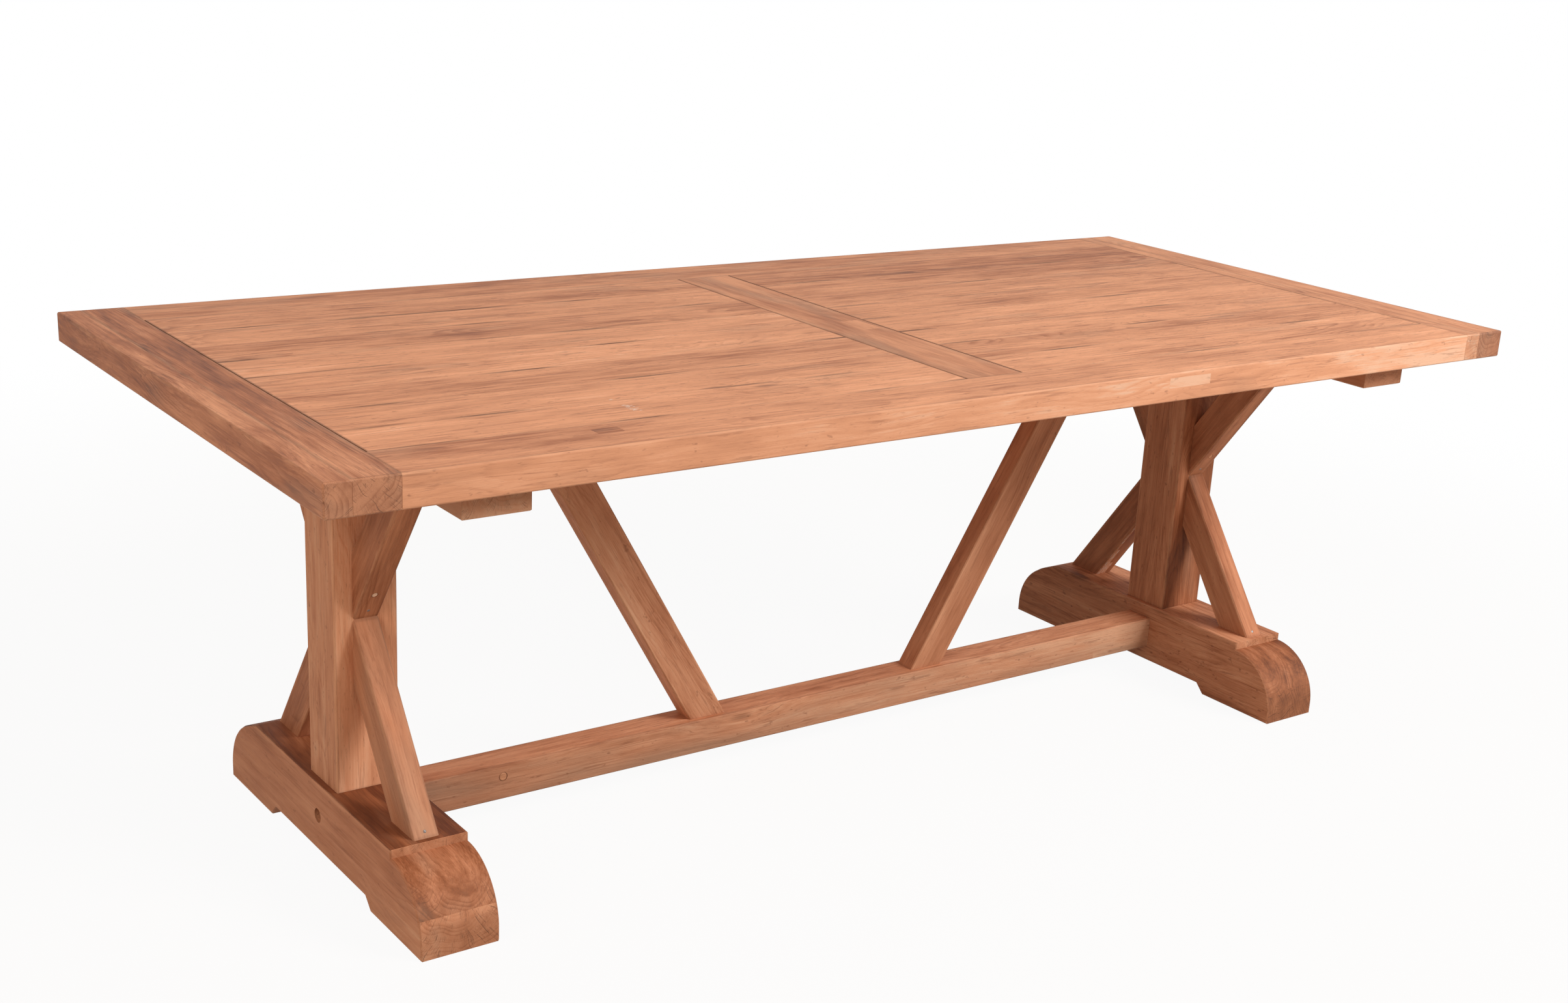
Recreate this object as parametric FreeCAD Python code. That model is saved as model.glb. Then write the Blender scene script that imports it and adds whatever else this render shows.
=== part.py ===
import FreeCAD, Part
import math
import os

from FreeCAD import Vector

# Trestle garden table in solid teak, millimetres.
# X runs along the table, Y towards its back and Z up; the origin is on the floor under its middle.

# Overall size
table_length = 2200.0
table_width = 1000.0
table_height = 750.0

# Tabletop: two end boards, two long rails, a centre board and two fields of planks between them
top_thickness = 46.0
end_board_width = 98.0
rail_width = 100.0
centre_board_width = 105.0
planks_per_field = 8
left_outer_strip_share = 0.37
right_outer_strip_share = 0.65
plank_end_gap = 1.5
top_ease = 2.0

# Tongues and grooves that hold the tabletop's boards together
tongue_thickness = 12.0
tongue_length = 12.0
groove_relief = 1.0
groove_stop = 40.0

# Trestles: a foot, a post and a bolster at each end, four braces to each post
trestle_inset = 248.0
bolster_inset = 50.0
bolster_width = 98.0
bolster_thickness = 42.0
post_width = 98.0
post_depth = 98.0
brace_width = 40.0
brace_depth = 60.0
brace_setback = 10.0
timber_ease = 2.0

# Feet: a quarter-round nose under a small step, and a relieved underside between two pads
foot_length = 698.0
foot_width = 120.0
foot_height = 128.0
foot_step = 13.0
foot_nose = 19.0
foot_pad = 165.0
foot_relief = 18.0
foot_relief_run = 18.0

# Post tenons, in the foot below and in the bolster above
post_tenon_width = 50.0
post_tenon_depth = 60.0
foot_tenon_length = 40.0
bolster_tenon_length = 28.0
mortise_relief = 2.0

# Stretcher between the feet, with a stub tenon at each end and one round wooden plug in its front
stretcher_width = 60.0
stretcher_height = 58.0
stretcher_clearance = 46.0
stretcher_tenon_width = 40.0
stretcher_tenon_height = 36.0
stretcher_tenon_length = 15.0
stretcher_plug_radius = 7.5
stretcher_plug_length = 18.0
stretcher_plug_inset = 172.0
stretcher_plug_rise = 9.5

# Diagonals from the stretcher out to the underside of the top
diagonal_thickness = 40.0
diagonal_depth = 60.0
diagonal_foot_offset = 200.0
diagonal_angle = 59.5
diagonal_tenon_length = 25.0
diagonal_tenon_thickness = 20.0
diagonal_tenon_share = 0.6

# Fasteners: small pins have a few flat sides in place of a round shank
pin_sides = 8
hexagon_sides = 6
pocket_sides = 16
bore_clearance = 0.2
cut_overrun = 5.0
coach_shank_radius = 5.0
coach_bite = 72.0
coach_head_radius = 9.0
coach_head_height = 7.0
coach_pocket_radius = 11.0
coach_pocket_depth = 20.0
washer_radius = 10.5
washer_thickness = 2.0
wood_screw_shank_radius = 2.5
wood_screw_head_radius = 4.5
wood_screw_head_height = 3.0
top_screw_bite = 32.0
top_screw_pocket_depth = 14.0
top_screw_offset = 32.0
top_screw_share = 0.72
brace_screw_length = 70.0
brace_screw_setback = 55.0
brace_plug_radius = 5.0
brace_plug_length = 9.0
nail_shank_radius = 1.5
nail_head_radius = 2.5
nail_head_height = 1.0
nail_length = 50.0
nail_setback = 17.0
nail_foot_setback = 10.0
diagonal_screw_bite = 30.0
diagonal_screw_grip = 15.0
diagonal_screw_inset = 20.0
diagonal_screw_share = 0.25

# Places worked out from the sizes above
top_underside = table_height - top_thickness
bolster_underside = top_underside - bolster_thickness
kink_height = (foot_height + bolster_underside) / 2
bolster_length = table_width - 2 * bolster_inset
trestle_x = table_length / 2 - trestle_inset
foot_inner_x = trestle_x - foot_width / 2
foot_radius = foot_height - foot_step - foot_nose
foot_step_y = foot_length / 2 - foot_radius
brace_foot_y = foot_step_y - brace_setback
brace_angle = math.atan2(kink_height - foot_height, brace_foot_y - post_depth / 2)
stretcher_top = stretcher_clearance + stretcher_height
stretcher_middle = stretcher_clearance + stretcher_height / 2
diagonal_slope = math.radians(diagonal_angle)
diagonal_foot_length = diagonal_depth / math.sin(diagonal_slope)
diagonal_lean = (top_underside - stretcher_top) / math.tan(diagonal_slope)
groove_depth = tongue_length + groove_relief
tongue_low = top_underside + (top_thickness - tongue_thickness) / 2
tongue_high = tongue_low + tongue_thickness
end_board_x = table_length / 2 - end_board_width
rail_y = table_width / 2 - rail_width
plank_width = 2 * rail_y / planks_per_field
top_screw_length = bolster_thickness - top_screw_pocket_depth + top_screw_bite
brace_screw_depth = brace_plug_length + wood_screw_head_height
parallel_limit = math.radians(1)


def block(low, high):
    """Box between two opposite corners."""
    low = Vector(*low)
    high = Vector(*high)
    size = high - low
    return Part.makeBox(size.x, size.y, size.z, low)


def prism(edges, run):
    """Solid swept from a closed outline of edges along a straight run."""
    outline = Part.Wire(edges)
    return Part.Face(outline).extrude(run)


def path_edges(points):
    """Straight edges from point to point."""
    return [Part.LineSegment(a, b).toShape() for a, b in zip(points, points[1:])]


def polygon_edges(points):
    """Straight edges round a closed outline."""
    return path_edges(points + points[:1])


def edge_direction(edge):
    """Unit vector along a straight edge."""
    start, end = edge.Vertexes[0].Point, edge.Vertexes[-1].Point
    return (end - start).normalize()


def ease_along(shape, direction):
    """Take off the arrises of a timber that run along one direction."""
    long_edges = [e for e in shape.Edges if edge_direction(e).cross(direction).Length < parallel_limit]
    return shape.makeChamfer(timber_ease, long_edges)


def rod(radius, length, base, direction):
    """Round rod from a base point along a direction."""
    return Part.makeCylinder(radius, length, base, direction)


def placed(shape, point, direction):
    """Turn a shape made along Z so that it points along a direction from a point."""
    turned = shape.copy()
    turned.Placement = FreeCAD.Placement(point, FreeCAD.Rotation(Vector(0, 0, 1), direction))
    return turned


def faceted_rod(radius, sides, low, high):
    """Rod along Z with a few flat sides."""
    turns = [math.radians(corner * 360 / sides) for corner in range(sides)]
    corners = [Vector(radius * math.cos(turn), radius * math.sin(turn), low) for turn in turns]
    return prism(polygon_edges(corners), Vector(0, 0, high - low))


def pin(head_sides, head_radius, head_height, shank_radius, length):
    """Screw or nail along Z, with its head below the seat at zero."""
    head = faceted_rod(head_radius, head_sides, -head_height, 0)
    shank = faceted_rod(shank_radius, pin_sides, 0, length)
    return head.fuse(shank)


def pin_bore(shank_radius, length, pocket):
    """Hole for a screw or nail along Z, joined to the pocket for its head."""
    return faceted_rod(shank_radius, pin_sides, 0, length).fuse(pocket)


def round_pocket(radius, depth):
    """Round pocket below the seat at zero, cut past its mouth."""
    reach = depth + cut_overrun
    return rod(radius + bore_clearance, reach, Vector(0, 0, -reach), Vector(0, 0, 1))


def on_brace(shape, side, facing, rise, along, depth):
    """Set a shape made along Z square into a brace, at a distance from the kink and a depth in the wood."""
    run = math.cos(brace_angle)
    climb = math.sin(brace_angle)
    y = facing * (post_depth / 2 + along * run - depth * climb)
    z = kink_height + rise * (along * climb + depth * run)
    inward = Vector(0, -facing * climb, rise * run)
    return placed(shape, Vector(side * trestle_x, y, z), inward)


def make_foot(side):
    """Foot timber: stepped quarter-round ends and a relieved underside."""
    x = side * trestle_x - foot_width / 2
    end = foot_length / 2
    pad = end - foot_pad
    spring = foot_nose + foot_radius
    turn = foot_radius * math.cos(math.pi / 4)

    def at(y, z):
        return Vector(x, y, z)

    def nose_arc(facing):
        start = at(facing * end, foot_nose)
        middle = at(facing * (foot_step_y + turn), foot_nose + turn)
        stop = at(facing * foot_step_y, spring)
        return Part.Arc(start, middle, stop).toShape()

    relief = [
        at(end, foot_nose),
        at(end, 0),
        at(pad, 0),
        at(pad - foot_relief_run, foot_relief),
        at(foot_relief_run - pad, foot_relief),
        at(-pad, 0),
        at(-end, 0),
        at(-end, foot_nose),
    ]
    crown = [
        at(-foot_step_y, spring),
        at(-foot_step_y, foot_height),
        at(foot_step_y, foot_height),
        at(foot_step_y, spring),
    ]
    edges = path_edges(relief) + [nose_arc(-1)] + path_edges(crown) + [nose_arc(1)]
    foot = prism(edges, Vector(foot_width, 0, 0))
    outline = [e for e in foot.Edges if e.BoundBox.XLength < foot_width / 2]
    foot = foot.makeChamfer(timber_ease, outline)
    mortise = block(
        (side * trestle_x - post_tenon_width / 2, -post_tenon_depth / 2,
         foot_height - foot_tenon_length - mortise_relief),
        (side * trestle_x + post_tenon_width / 2, post_tenon_depth / 2, foot_height + cut_overrun),
    )
    joints = [mortise, stretcher_tenon(side, mortise_relief), coach_bore(side)]
    return foot.cut(joints + brace_bores(side))


def make_post(side):
    """Square post with a tenon into the foot and another into the bolster."""
    x = side * trestle_x
    post = block(
        (x - post_width / 2, -post_depth / 2, foot_height),
        (x + post_width / 2, post_depth / 2, bolster_underside),
    )
    post = ease_along(post, Vector(0, 0, 1))
    tenon = block(
        (x - post_tenon_width / 2, -post_tenon_depth / 2, foot_height - foot_tenon_length),
        (x + post_tenon_width / 2, post_tenon_depth / 2, bolster_underside + bolster_tenon_length),
    )
    return post.fuse(tenon).removeSplitter().cut(brace_bores(side))


def make_bolster(side):
    """Cross beam under the top, mortised for its post and bored for the top's screws."""
    x = side * trestle_x
    bolster = block(
        (x - bolster_width / 2, -bolster_length / 2, bolster_underside),
        (x + bolster_width / 2, bolster_length / 2, top_underside),
    )
    under = [e for e in bolster.Edges if e.BoundBox.ZMax < bolster_underside + bolster_thickness / 2]
    bolster = bolster.makeChamfer(timber_ease, under)
    mortise = block(
        (x - post_tenon_width / 2, -post_tenon_depth / 2, bolster_underside - cut_overrun),
        (x + post_tenon_width / 2, post_tenon_depth / 2,
         bolster_underside + bolster_tenon_length + mortise_relief),
    )
    return bolster.cut([mortise] + top_screw_bores(side))


def make_brace(side, facing, rise):
    """Brace between the post and the foot or bolster, cut to lie flat on both."""
    reach = post_depth / 2
    drop = kink_height - foot_height
    outline = [
        (reach, 0),
        (brace_foot_y, drop),
        (brace_foot_y - brace_depth / math.sin(brace_angle), drop),
        (reach, brace_depth / math.cos(brace_angle)),
    ]
    x = side * trestle_x - brace_width / 2
    points = [Vector(x, facing * y, kink_height + rise * z) for y, z in outline]
    brace = prism(polygon_edges(points), Vector(brace_width, 0, 0))
    grain = Vector(0, facing * math.cos(brace_angle), rise * math.sin(brace_angle))
    brace = ease_along(brace, grain)
    return brace.cut(brace_bores(side))


def stretcher_tenon(side, relief):
    """Stub tenon at one end of the stretcher, or with a relief the mortise for it."""
    inner = side * foot_inner_x
    outer = inner + side * (stretcher_tenon_length + relief)
    return block(
        (min(inner, outer), -stretcher_tenon_width / 2, stretcher_middle - stretcher_tenon_height / 2),
        (max(inner, outer), stretcher_tenon_width / 2, stretcher_middle + stretcher_tenon_height / 2),
    )


def make_stretcher_plug():
    """Round plug in the stretcher's front face, near its left end."""
    x = stretcher_plug_inset - foot_inner_x
    base = Vector(x, -stretcher_width / 2, stretcher_middle + stretcher_plug_rise)
    return rod(stretcher_plug_radius, stretcher_plug_length, base, Vector(0, 1, 0))


def make_stretcher():
    """Long rail that ties the two feet together."""
    stretcher = block(
        (-foot_inner_x, -stretcher_width / 2, stretcher_clearance),
        (foot_inner_x, stretcher_width / 2, stretcher_top),
    )
    stretcher = ease_along(stretcher, Vector(1, 0, 0))
    stretcher = stretcher.fuse([stretcher_tenon(-1, 0), stretcher_tenon(1, 0)]).removeSplitter()
    mortises = [diagonal_tenon(side, mortise_relief) for side in (-1, 1)]
    bores = [coach_bore(side) for side in (-1, 1)]
    return stretcher.cut(mortises + bores + [make_stretcher_plug()])


def diagonal_tenon(side, relief):
    """Upright stub tenon under a diagonal, or with a relief the mortise for it."""
    middle = side * (diagonal_foot_offset + diagonal_foot_length / 2)
    half = diagonal_tenon_share * diagonal_foot_length / 2
    return block(
        (middle - half, -diagonal_tenon_thickness / 2, stretcher_top - diagonal_tenon_length - relief),
        (middle + half, diagonal_tenon_thickness / 2, stretcher_top),
    )


def make_diagonal(side):
    """Leaning timber from the stretcher to the underside of the top."""
    foot = diagonal_foot_offset
    outline = [
        (foot, stretcher_top),
        (foot + diagonal_foot_length, stretcher_top),
        (foot + diagonal_foot_length + diagonal_lean, top_underside),
        (foot + diagonal_lean, top_underside),
    ]
    points = [Vector(side * x, -diagonal_thickness / 2, z) for x, z in outline]
    diagonal = prism(polygon_edges(points), Vector(0, diagonal_thickness, 0))
    grain = Vector(side * math.cos(diagonal_slope), 0, math.sin(diagonal_slope))
    diagonal = ease_along(diagonal, grain)
    diagonal = diagonal.fuse(diagonal_tenon(side, 0)).removeSplitter()
    return diagonal.cut(diagonal_screw_bore(side))


def make_slab():
    """Whole tabletop with eased outer edges, which its boards are cut from."""
    slab = block(
        (-table_length / 2, -table_width / 2, top_underside),
        (table_length / 2, table_width / 2, table_height),
    )
    return slab.makeChamfer(top_ease, slab.Edges)


def tongue(low, high):
    """Tongue or groove between two corners in plan, at the boards' middle."""
    return block((low[0], low[1], tongue_low), (high[0], high[1], tongue_high))


def board(slab, low, high, tongues, grooves):
    """Tabletop board between two corners in plan, with its tongues added and its grooves cut."""
    piece = slab.common(block((low[0], low[1], top_underside), (high[0], high[1], table_height)))
    if tongues:
        piece = piece.fuse(tongues).removeSplitter()
    return piece.cut(grooves + top_bores)


def make_end_board(slab, side, outer_share):
    """Outer and inner strip of the board across one end, the inner one grooved for planks and rails."""
    outer = side * table_length / 2
    inner = side * end_board_x
    seam = outer - side * outer_share * end_board_width
    floor = inner + side * groove_depth
    reach = table_width / 2
    groove = tongue(
        (min(inner, floor), groove_stop - reach),
        (max(inner, floor), reach - groove_stop),
    )
    outer_strip = board(slab, (min(outer, seam), -reach), (max(outer, seam), reach), [], [])
    inner_strip = board(slab, (min(inner, seam), -reach), (max(inner, seam), reach), [], [groove])
    return outer_strip, inner_strip


def make_rail(slab, facing):
    """Long rail between the end boards, grooved for the planks and tongued at both ends."""
    outer = facing * table_width / 2
    inner = facing * rail_y
    floor = inner + facing * groove_depth
    stop = outer - facing * groove_stop
    groove = tongue((-end_board_x, min(inner, floor)), (end_board_x, max(inner, floor)))
    ends = [
        tongue((-end_board_x - tongue_length, min(floor, stop)), (-end_board_x, max(floor, stop))),
        tongue((end_board_x, min(floor, stop)), (end_board_x + tongue_length, max(floor, stop))),
    ]
    return board(slab, (-end_board_x, min(inner, outer)), (end_board_x, max(inner, outer)), ends, [groove])


def make_centre_board(slab):
    """Board across the middle, tongued into both rails and grooved for the planks' ends."""
    edge = centre_board_width / 2
    floor = edge - groove_depth
    ends = [
        tongue((-floor, -rail_y - tongue_length), (floor, -rail_y)),
        tongue((-floor, rail_y), (floor, rail_y + tongue_length)),
    ]
    grooves = [
        tongue((-edge, -rail_y), (-floor, rail_y)),
        tongue((floor, -rail_y), (edge, rail_y)),
    ]
    return board(slab, (-edge, -rail_y), (edge, rail_y), ends, grooves)


def make_plank(slab, side, row):
    """Plank of one field, counted from the back, with its long edges and ends tongued into its neighbours."""
    left = min(side * end_board_x, side * centre_board_width / 2) + plank_end_gap
    right = max(side * end_board_x, side * centre_board_width / 2) - plank_end_gap
    back = rail_y - row * plank_width
    front = back - plank_width
    root = back - groove_depth
    tongues = [
        tongue((left, front - tongue_length), (right, front)),
        tongue((left - tongue_length, front), (left, root)),
        tongue((right, front), (right + tongue_length, root)),
    ]
    grooves = []
    if row == 0:
        tongues.append(tongue((left, back), (right, back + tongue_length)))
    else:
        grooves.append(tongue((left, root), (right, back)))
    return board(slab, (left, front), (right, back), tongues, grooves)


def coach_seat(side):
    """Floor of the pocket in a foot's outer face, where the coach screw's washer sits."""
    return Vector(side * (trestle_x + foot_width / 2 - coach_pocket_depth), 0, stretcher_middle)


def coach_bore(side):
    """Hole for the coach screw that pulls the stretcher onto a foot."""
    length = foot_width - coach_pocket_depth + coach_bite
    bore = pin_bore(coach_shank_radius, length, round_pocket(coach_pocket_radius, coach_pocket_depth))
    return placed(bore, coach_seat(side), Vector(-side, 0, 0))


def make_washer(side):
    """Washer under a coach screw's head."""
    outward = Vector(side, 0, 0)
    disc = rod(washer_radius, washer_thickness, coach_seat(side), outward)
    hole = rod(coach_shank_radius + bore_clearance, washer_thickness, coach_seat(side), outward)
    return disc.cut(hole)


def make_coach_screw(side):
    """Hexagon-headed coach screw through a foot into the end of the stretcher."""
    length = washer_thickness + foot_width - coach_pocket_depth + coach_bite
    screw = pin(hexagon_sides, coach_head_radius, coach_head_height, coach_shank_radius, length)
    return placed(screw, coach_seat(side) + Vector(side * washer_thickness, 0, 0), Vector(-side, 0, 0))


def wood_screw(length):
    """Wood screw along Z, with its head below the seat at zero."""
    return pin(pin_sides, wood_screw_head_radius, wood_screw_head_height, wood_screw_shank_radius, length)


def wood_screw_bore(length, depth):
    """Hole for a wood screw along Z, with a pocket that reaches some depth below the seat at zero."""
    pocket = faceted_rod(wood_screw_head_radius + bore_clearance, pocket_sides, -depth - cut_overrun, 0)
    return pin_bore(wood_screw_shank_radius, length, pocket)


def top_screw_seats(side):
    """Seats of the screws up through a bolster, one for each plank, staggered across it."""
    z = bolster_underside + top_screw_pocket_depth
    seats = []
    for row in range(planks_per_field // 2):
        y = (row + top_screw_share) * plank_width
        stagger = top_screw_offset if row % 2 else -top_screw_offset
        for facing in (-1, 1):
            seats.append(Vector(side * trestle_x + stagger, facing * y, z))
    return seats


def top_screw_bores(side):
    """Holes for the screws up through a bolster into the planks."""
    bore = wood_screw_bore(top_screw_length, top_screw_pocket_depth)
    return [placed(bore, seat, Vector(0, 0, 1)) for seat in top_screw_seats(side)]


def make_top_screws(side):
    """Screws up through a bolster into the planks."""
    screw = wood_screw(top_screw_length)
    return [placed(screw, seat, Vector(0, 0, 1)) for seat in top_screw_seats(side)]


def diagonal_screw_seat(side):
    """Seat of the screw at the top of a diagonal."""
    x = diagonal_foot_offset + diagonal_foot_length + diagonal_lean - diagonal_screw_inset
    return Vector(side * x, diagonal_screw_share * diagonal_thickness, top_underside - diagonal_screw_grip)


def diagonal_screw_bore(side):
    """Upright hole through the top of a diagonal, with a pocket that opens in its leaning face."""
    bore = wood_screw_bore(diagonal_screw_grip + diagonal_screw_bite, diagonal_depth)
    return placed(bore, diagonal_screw_seat(side), Vector(0, 0, 1))


def make_diagonal_screw(side):
    """Screw that holds the top of a diagonal to the tabletop."""
    screw = wood_screw(diagonal_screw_grip + diagonal_screw_bite)
    return placed(screw, diagonal_screw_seat(side), Vector(0, 0, 1))


def nail_along(rise):
    """Distance of a brace's nail from the kink: close to it above, close to the foot below."""
    outer_length = (kink_height - foot_height) / math.sin(brace_angle)
    return nail_setback if rise > 0 else outer_length - nail_foot_setback


def brace_bores(side):
    """Holes for every screw and nail in one trestle's braces."""
    screw_bore = pin_bore(
        wood_screw_shank_radius, brace_screw_length, round_pocket(brace_plug_radius, brace_screw_depth)
    )
    nail_pocket = faceted_rod(nail_head_radius, pin_sides, -nail_head_height - cut_overrun, 0)
    nail_bore = pin_bore(nail_shank_radius, nail_length, nail_pocket)
    bores = []
    for facing in (-1, 1):
        bores.append(on_brace(screw_bore, side, facing, 1, brace_screw_setback, brace_screw_depth))
        for rise in (-1, 1):
            bores.append(on_brace(nail_bore, side, facing, rise, nail_along(rise), nail_head_height))
    return bores


def make_brace_screws():
    """Screws through the upper braces into the posts, below their plugs."""
    screw = wood_screw(brace_screw_length)
    return [
        on_brace(screw, side, facing, 1, brace_screw_setback, brace_screw_depth)
        for side in (-1, 1) for facing in (-1, 1)
    ]


def make_brace_plugs():
    """Wooden plugs over the screws in the upper braces, flush with their outer faces."""
    plug = rod(brace_plug_radius, brace_plug_length, Vector(0, 0, 0), Vector(0, 0, 1))
    return [
        on_brace(plug, side, facing, 1, brace_screw_setback, 0)
        for side in (-1, 1) for facing in (-1, 1)
    ]


def make_brace_nails():
    """Nails at the kink in the upper braces and at the foot of the lower ones."""
    nail = pin(pin_sides, nail_head_radius, nail_head_height, nail_shank_radius, nail_length)
    return [
        on_brace(nail, side, facing, rise, nail_along(rise), nail_head_height)
        for side in (-1, 1) for facing in (-1, 1) for rise in (-1, 1)
    ]


def save(name, *solids):
    """Write one piece, or a group of like pieces, to a file of its own."""
    shape = solids[0] if len(solids) == 1 else Part.makeCompound(list(solids))
    shape.exportStep(os.path.join("parts", name + ".step"))


os.makedirs("parts", exist_ok=True)
ends = {"left": -1, "right": 1}
fronts = {"front": -1, "back": 1}
rises = {"lower": -1, "upper": 1}
outer_shares = {"left": left_outer_strip_share, "right": right_outer_strip_share}
top_bores = [bore for side in ends.values() for bore in top_screw_bores(side)]
top_bores += [diagonal_screw_bore(side) for side in ends.values()]
tabletop = make_slab()

for end, side in ends.items():
    outer_strip, inner_strip = make_end_board(tabletop, side, outer_shares[end])
    save(f"end_board_{end}_outer_strip", outer_strip)
    save(f"end_board_{end}_inner_strip", inner_strip)
    for row in range(planks_per_field):
        save(f"plank_{end}_{row + 1}", make_plank(tabletop, side, row))
    save(f"foot_{end}", make_foot(side))
    save(f"post_{end}", make_post(side))
    save(f"bolster_{end}", make_bolster(side))
    save(f"diagonal_{end}", make_diagonal(side))
    for front, facing in fronts.items():
        for height, rise in rises.items():
            save(f"brace_{end}_{front}_{height}", make_brace(side, facing, rise))

for front, facing in fronts.items():
    save(f"rail_{front}", make_rail(tabletop, facing))

save("centre_board", make_centre_board(tabletop))
save("stretcher", make_stretcher())
save("stretcher_plug", make_stretcher_plug())
save("coach_screws", *[make_coach_screw(side) for side in ends.values()])
save("coach_washers", *[make_washer(side) for side in ends.values()])
save("top_screws", *[screw for side in ends.values() for screw in make_top_screws(side)])
save("diagonal_screws", *[make_diagonal_screw(side) for side in ends.values()])
save("brace_screws", *make_brace_screws())
save("brace_plugs", *make_brace_plugs())
save("brace_nails", *make_brace_nails())
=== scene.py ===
import math
import random

import bmesh
import bpy
import numpy as np
from mathutils import Matrix, Vector


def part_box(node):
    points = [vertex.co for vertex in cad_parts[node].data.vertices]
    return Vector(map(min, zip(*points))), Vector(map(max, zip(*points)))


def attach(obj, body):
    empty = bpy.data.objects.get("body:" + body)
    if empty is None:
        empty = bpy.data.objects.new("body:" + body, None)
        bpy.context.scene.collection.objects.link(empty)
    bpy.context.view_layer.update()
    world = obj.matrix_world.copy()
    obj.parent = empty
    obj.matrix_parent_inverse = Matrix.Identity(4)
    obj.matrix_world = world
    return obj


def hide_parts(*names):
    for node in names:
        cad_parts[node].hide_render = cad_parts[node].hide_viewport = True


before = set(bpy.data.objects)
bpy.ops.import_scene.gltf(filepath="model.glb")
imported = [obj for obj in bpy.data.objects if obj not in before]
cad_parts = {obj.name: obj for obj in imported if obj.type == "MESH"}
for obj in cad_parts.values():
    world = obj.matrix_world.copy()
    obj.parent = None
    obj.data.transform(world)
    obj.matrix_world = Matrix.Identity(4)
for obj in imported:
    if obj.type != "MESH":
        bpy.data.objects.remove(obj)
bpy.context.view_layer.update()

# Trestle garden table in reclaimed teak, metres.
# X runs along the table, Y towards its back and Z up, as in the CAD.

MM = 0.001
DRAW = random.Random(11)

# Kinds of node that are used most
MATH = "ShaderNodeMath"
VECTOR = "ShaderNodeVectorMath"
RANGE = "ShaderNodeMapRange"
MIX = "ShaderNodeMix"
NOISE = "ShaderNodeTexNoise"
VORONOI = "ShaderNodeTexVoronoi"
CHANCE = "ShaderNodeTexWhiteNoise"
SPLIT, COMBINE = "ShaderNodeSeparateXYZ", "ShaderNodeCombineXYZ"
COLOUR_MIX = {"data_type": "RGBA"}
EASED = {"interpolation_type": "SMOOTHSTEP"}

# Sums that the math nodes work out
PLUS, MINUS = {"operation": "ADD"}, {"operation": "SUBTRACT"}
TIMES, OVER = {"operation": "MULTIPLY"}, {"operation": "DIVIDE"}
TIMES_PLUS = {"operation": "MULTIPLY_ADD"}


def linear(code):
    """sRGB hex value as a linear colour with full alpha."""
    channels = [int(code[i:i + 2], 16) / 255 for i in (1, 3, 5)]
    return [c / 12.92 if c <= 0.04045 else ((c + 0.055) / 1.055) ** 2.4 for c in channels] + [1.0]


def add(tree, kind, settings=None, links=None):
    """Add one node: settings go to its properties or sockets, links join its sockets to earlier nodes."""
    node = tree.nodes.new(kind)

    def socket(key):
        if isinstance(key, int):
            return node.inputs[key]
        return next(s for s in node.inputs if s.name == key and s.enabled)

    for key, value in (settings or {}).items():
        if isinstance(key, str) and key in node.bl_rna.properties:
            setattr(node, key, value)
        else:
            socket(key).default_value = value
    for key, source in (links or {}).items():
        if isinstance(source, bpy.types.Node):
            source = next(s for s in source.outputs if s.enabled)
        tree.links.new(source, socket(key))
    return node


def new_material(name):
    """Material with an empty node tree, and the tree."""
    material = bpy.data.materials.new(name)
    material.use_nodes = True
    material.node_tree.nodes.clear()
    return material, material.node_tree


# Teak, reclaimed, resawn and sanded, left without oil. The eye gets long soft streaks along the grain,
# late-wood lines that turn to cathedrals where the saw met them at a slant, fine open pores, a knot here and
# there, a tone of its own in every board, rings on cut ends, dirt in the joints and paler rubbed arrises.

# Looks of the grain: size along, across and through it, detail, and whether it swerves round knots.
# Teak's pores are about a quarter of a millimetre wide. They are drawn wider, so that they show.
GRAIN_LOOKS = {
    "fibre": ((80 * MM, 2.2 * MM, 2.2 * MM), 4.0, True),
    "streak": ((210 * MM, 7 * MM, 7 * MM), 6.0, True),
    "mottle": ((75 * MM, 17 * MM, 17 * MM), 5.0, True),
    "patch": ((380 * MM, 70 * MM, 70 * MM), 3.0, False),
    "figure": ((260 * MM, 60 * MM, 60 * MM), 2.0, False),
    "dark": ((130 * MM, 3.5 * MM, 16 * MM), 4.0, True),
    "fleck": ((18 * MM, 3.5 * MM, 9 * MM), 2.0, False),
    "pore": ((14 * MM, 1.3 * MM, 1.3 * MM), 1.0, True),
    "paint": ((9 * MM, 3 * MM, 3 * MM), 3.0, False),
    "line": ((330 * MM, 9 * MM, 11 * MM), 2.0, True),
    "band": ((900 * MM, 24 * MM, 24 * MM), 3.0, True),
    "cloud": ((140 * MM, 28 * MM, 28 * MM), 3.0, True),
}
GRAIN_ROUGHNESS = 0.6
MARKS = ("grain", "half_size", "board", "end_grain", "calm", "open_joint", "painted", "painted_light_fade")
SEED_STEP = (37.0, 11.0, 5.0)
KNOT_CELL = (430 * MM, 120 * MM, 120 * MM)

# Ranges: where they begin (1) and end (2), and the values there (3 and 4)
KNOT_EDGE = {**EASED, 1: 0.03, 2: 0.09, 3: 0.75, 4: 0.0}
KNOT_SWERVE = {**EASED, 1: 0.0, 2: 0.40, 3: 16 * MM, 4: 0.0}

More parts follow.
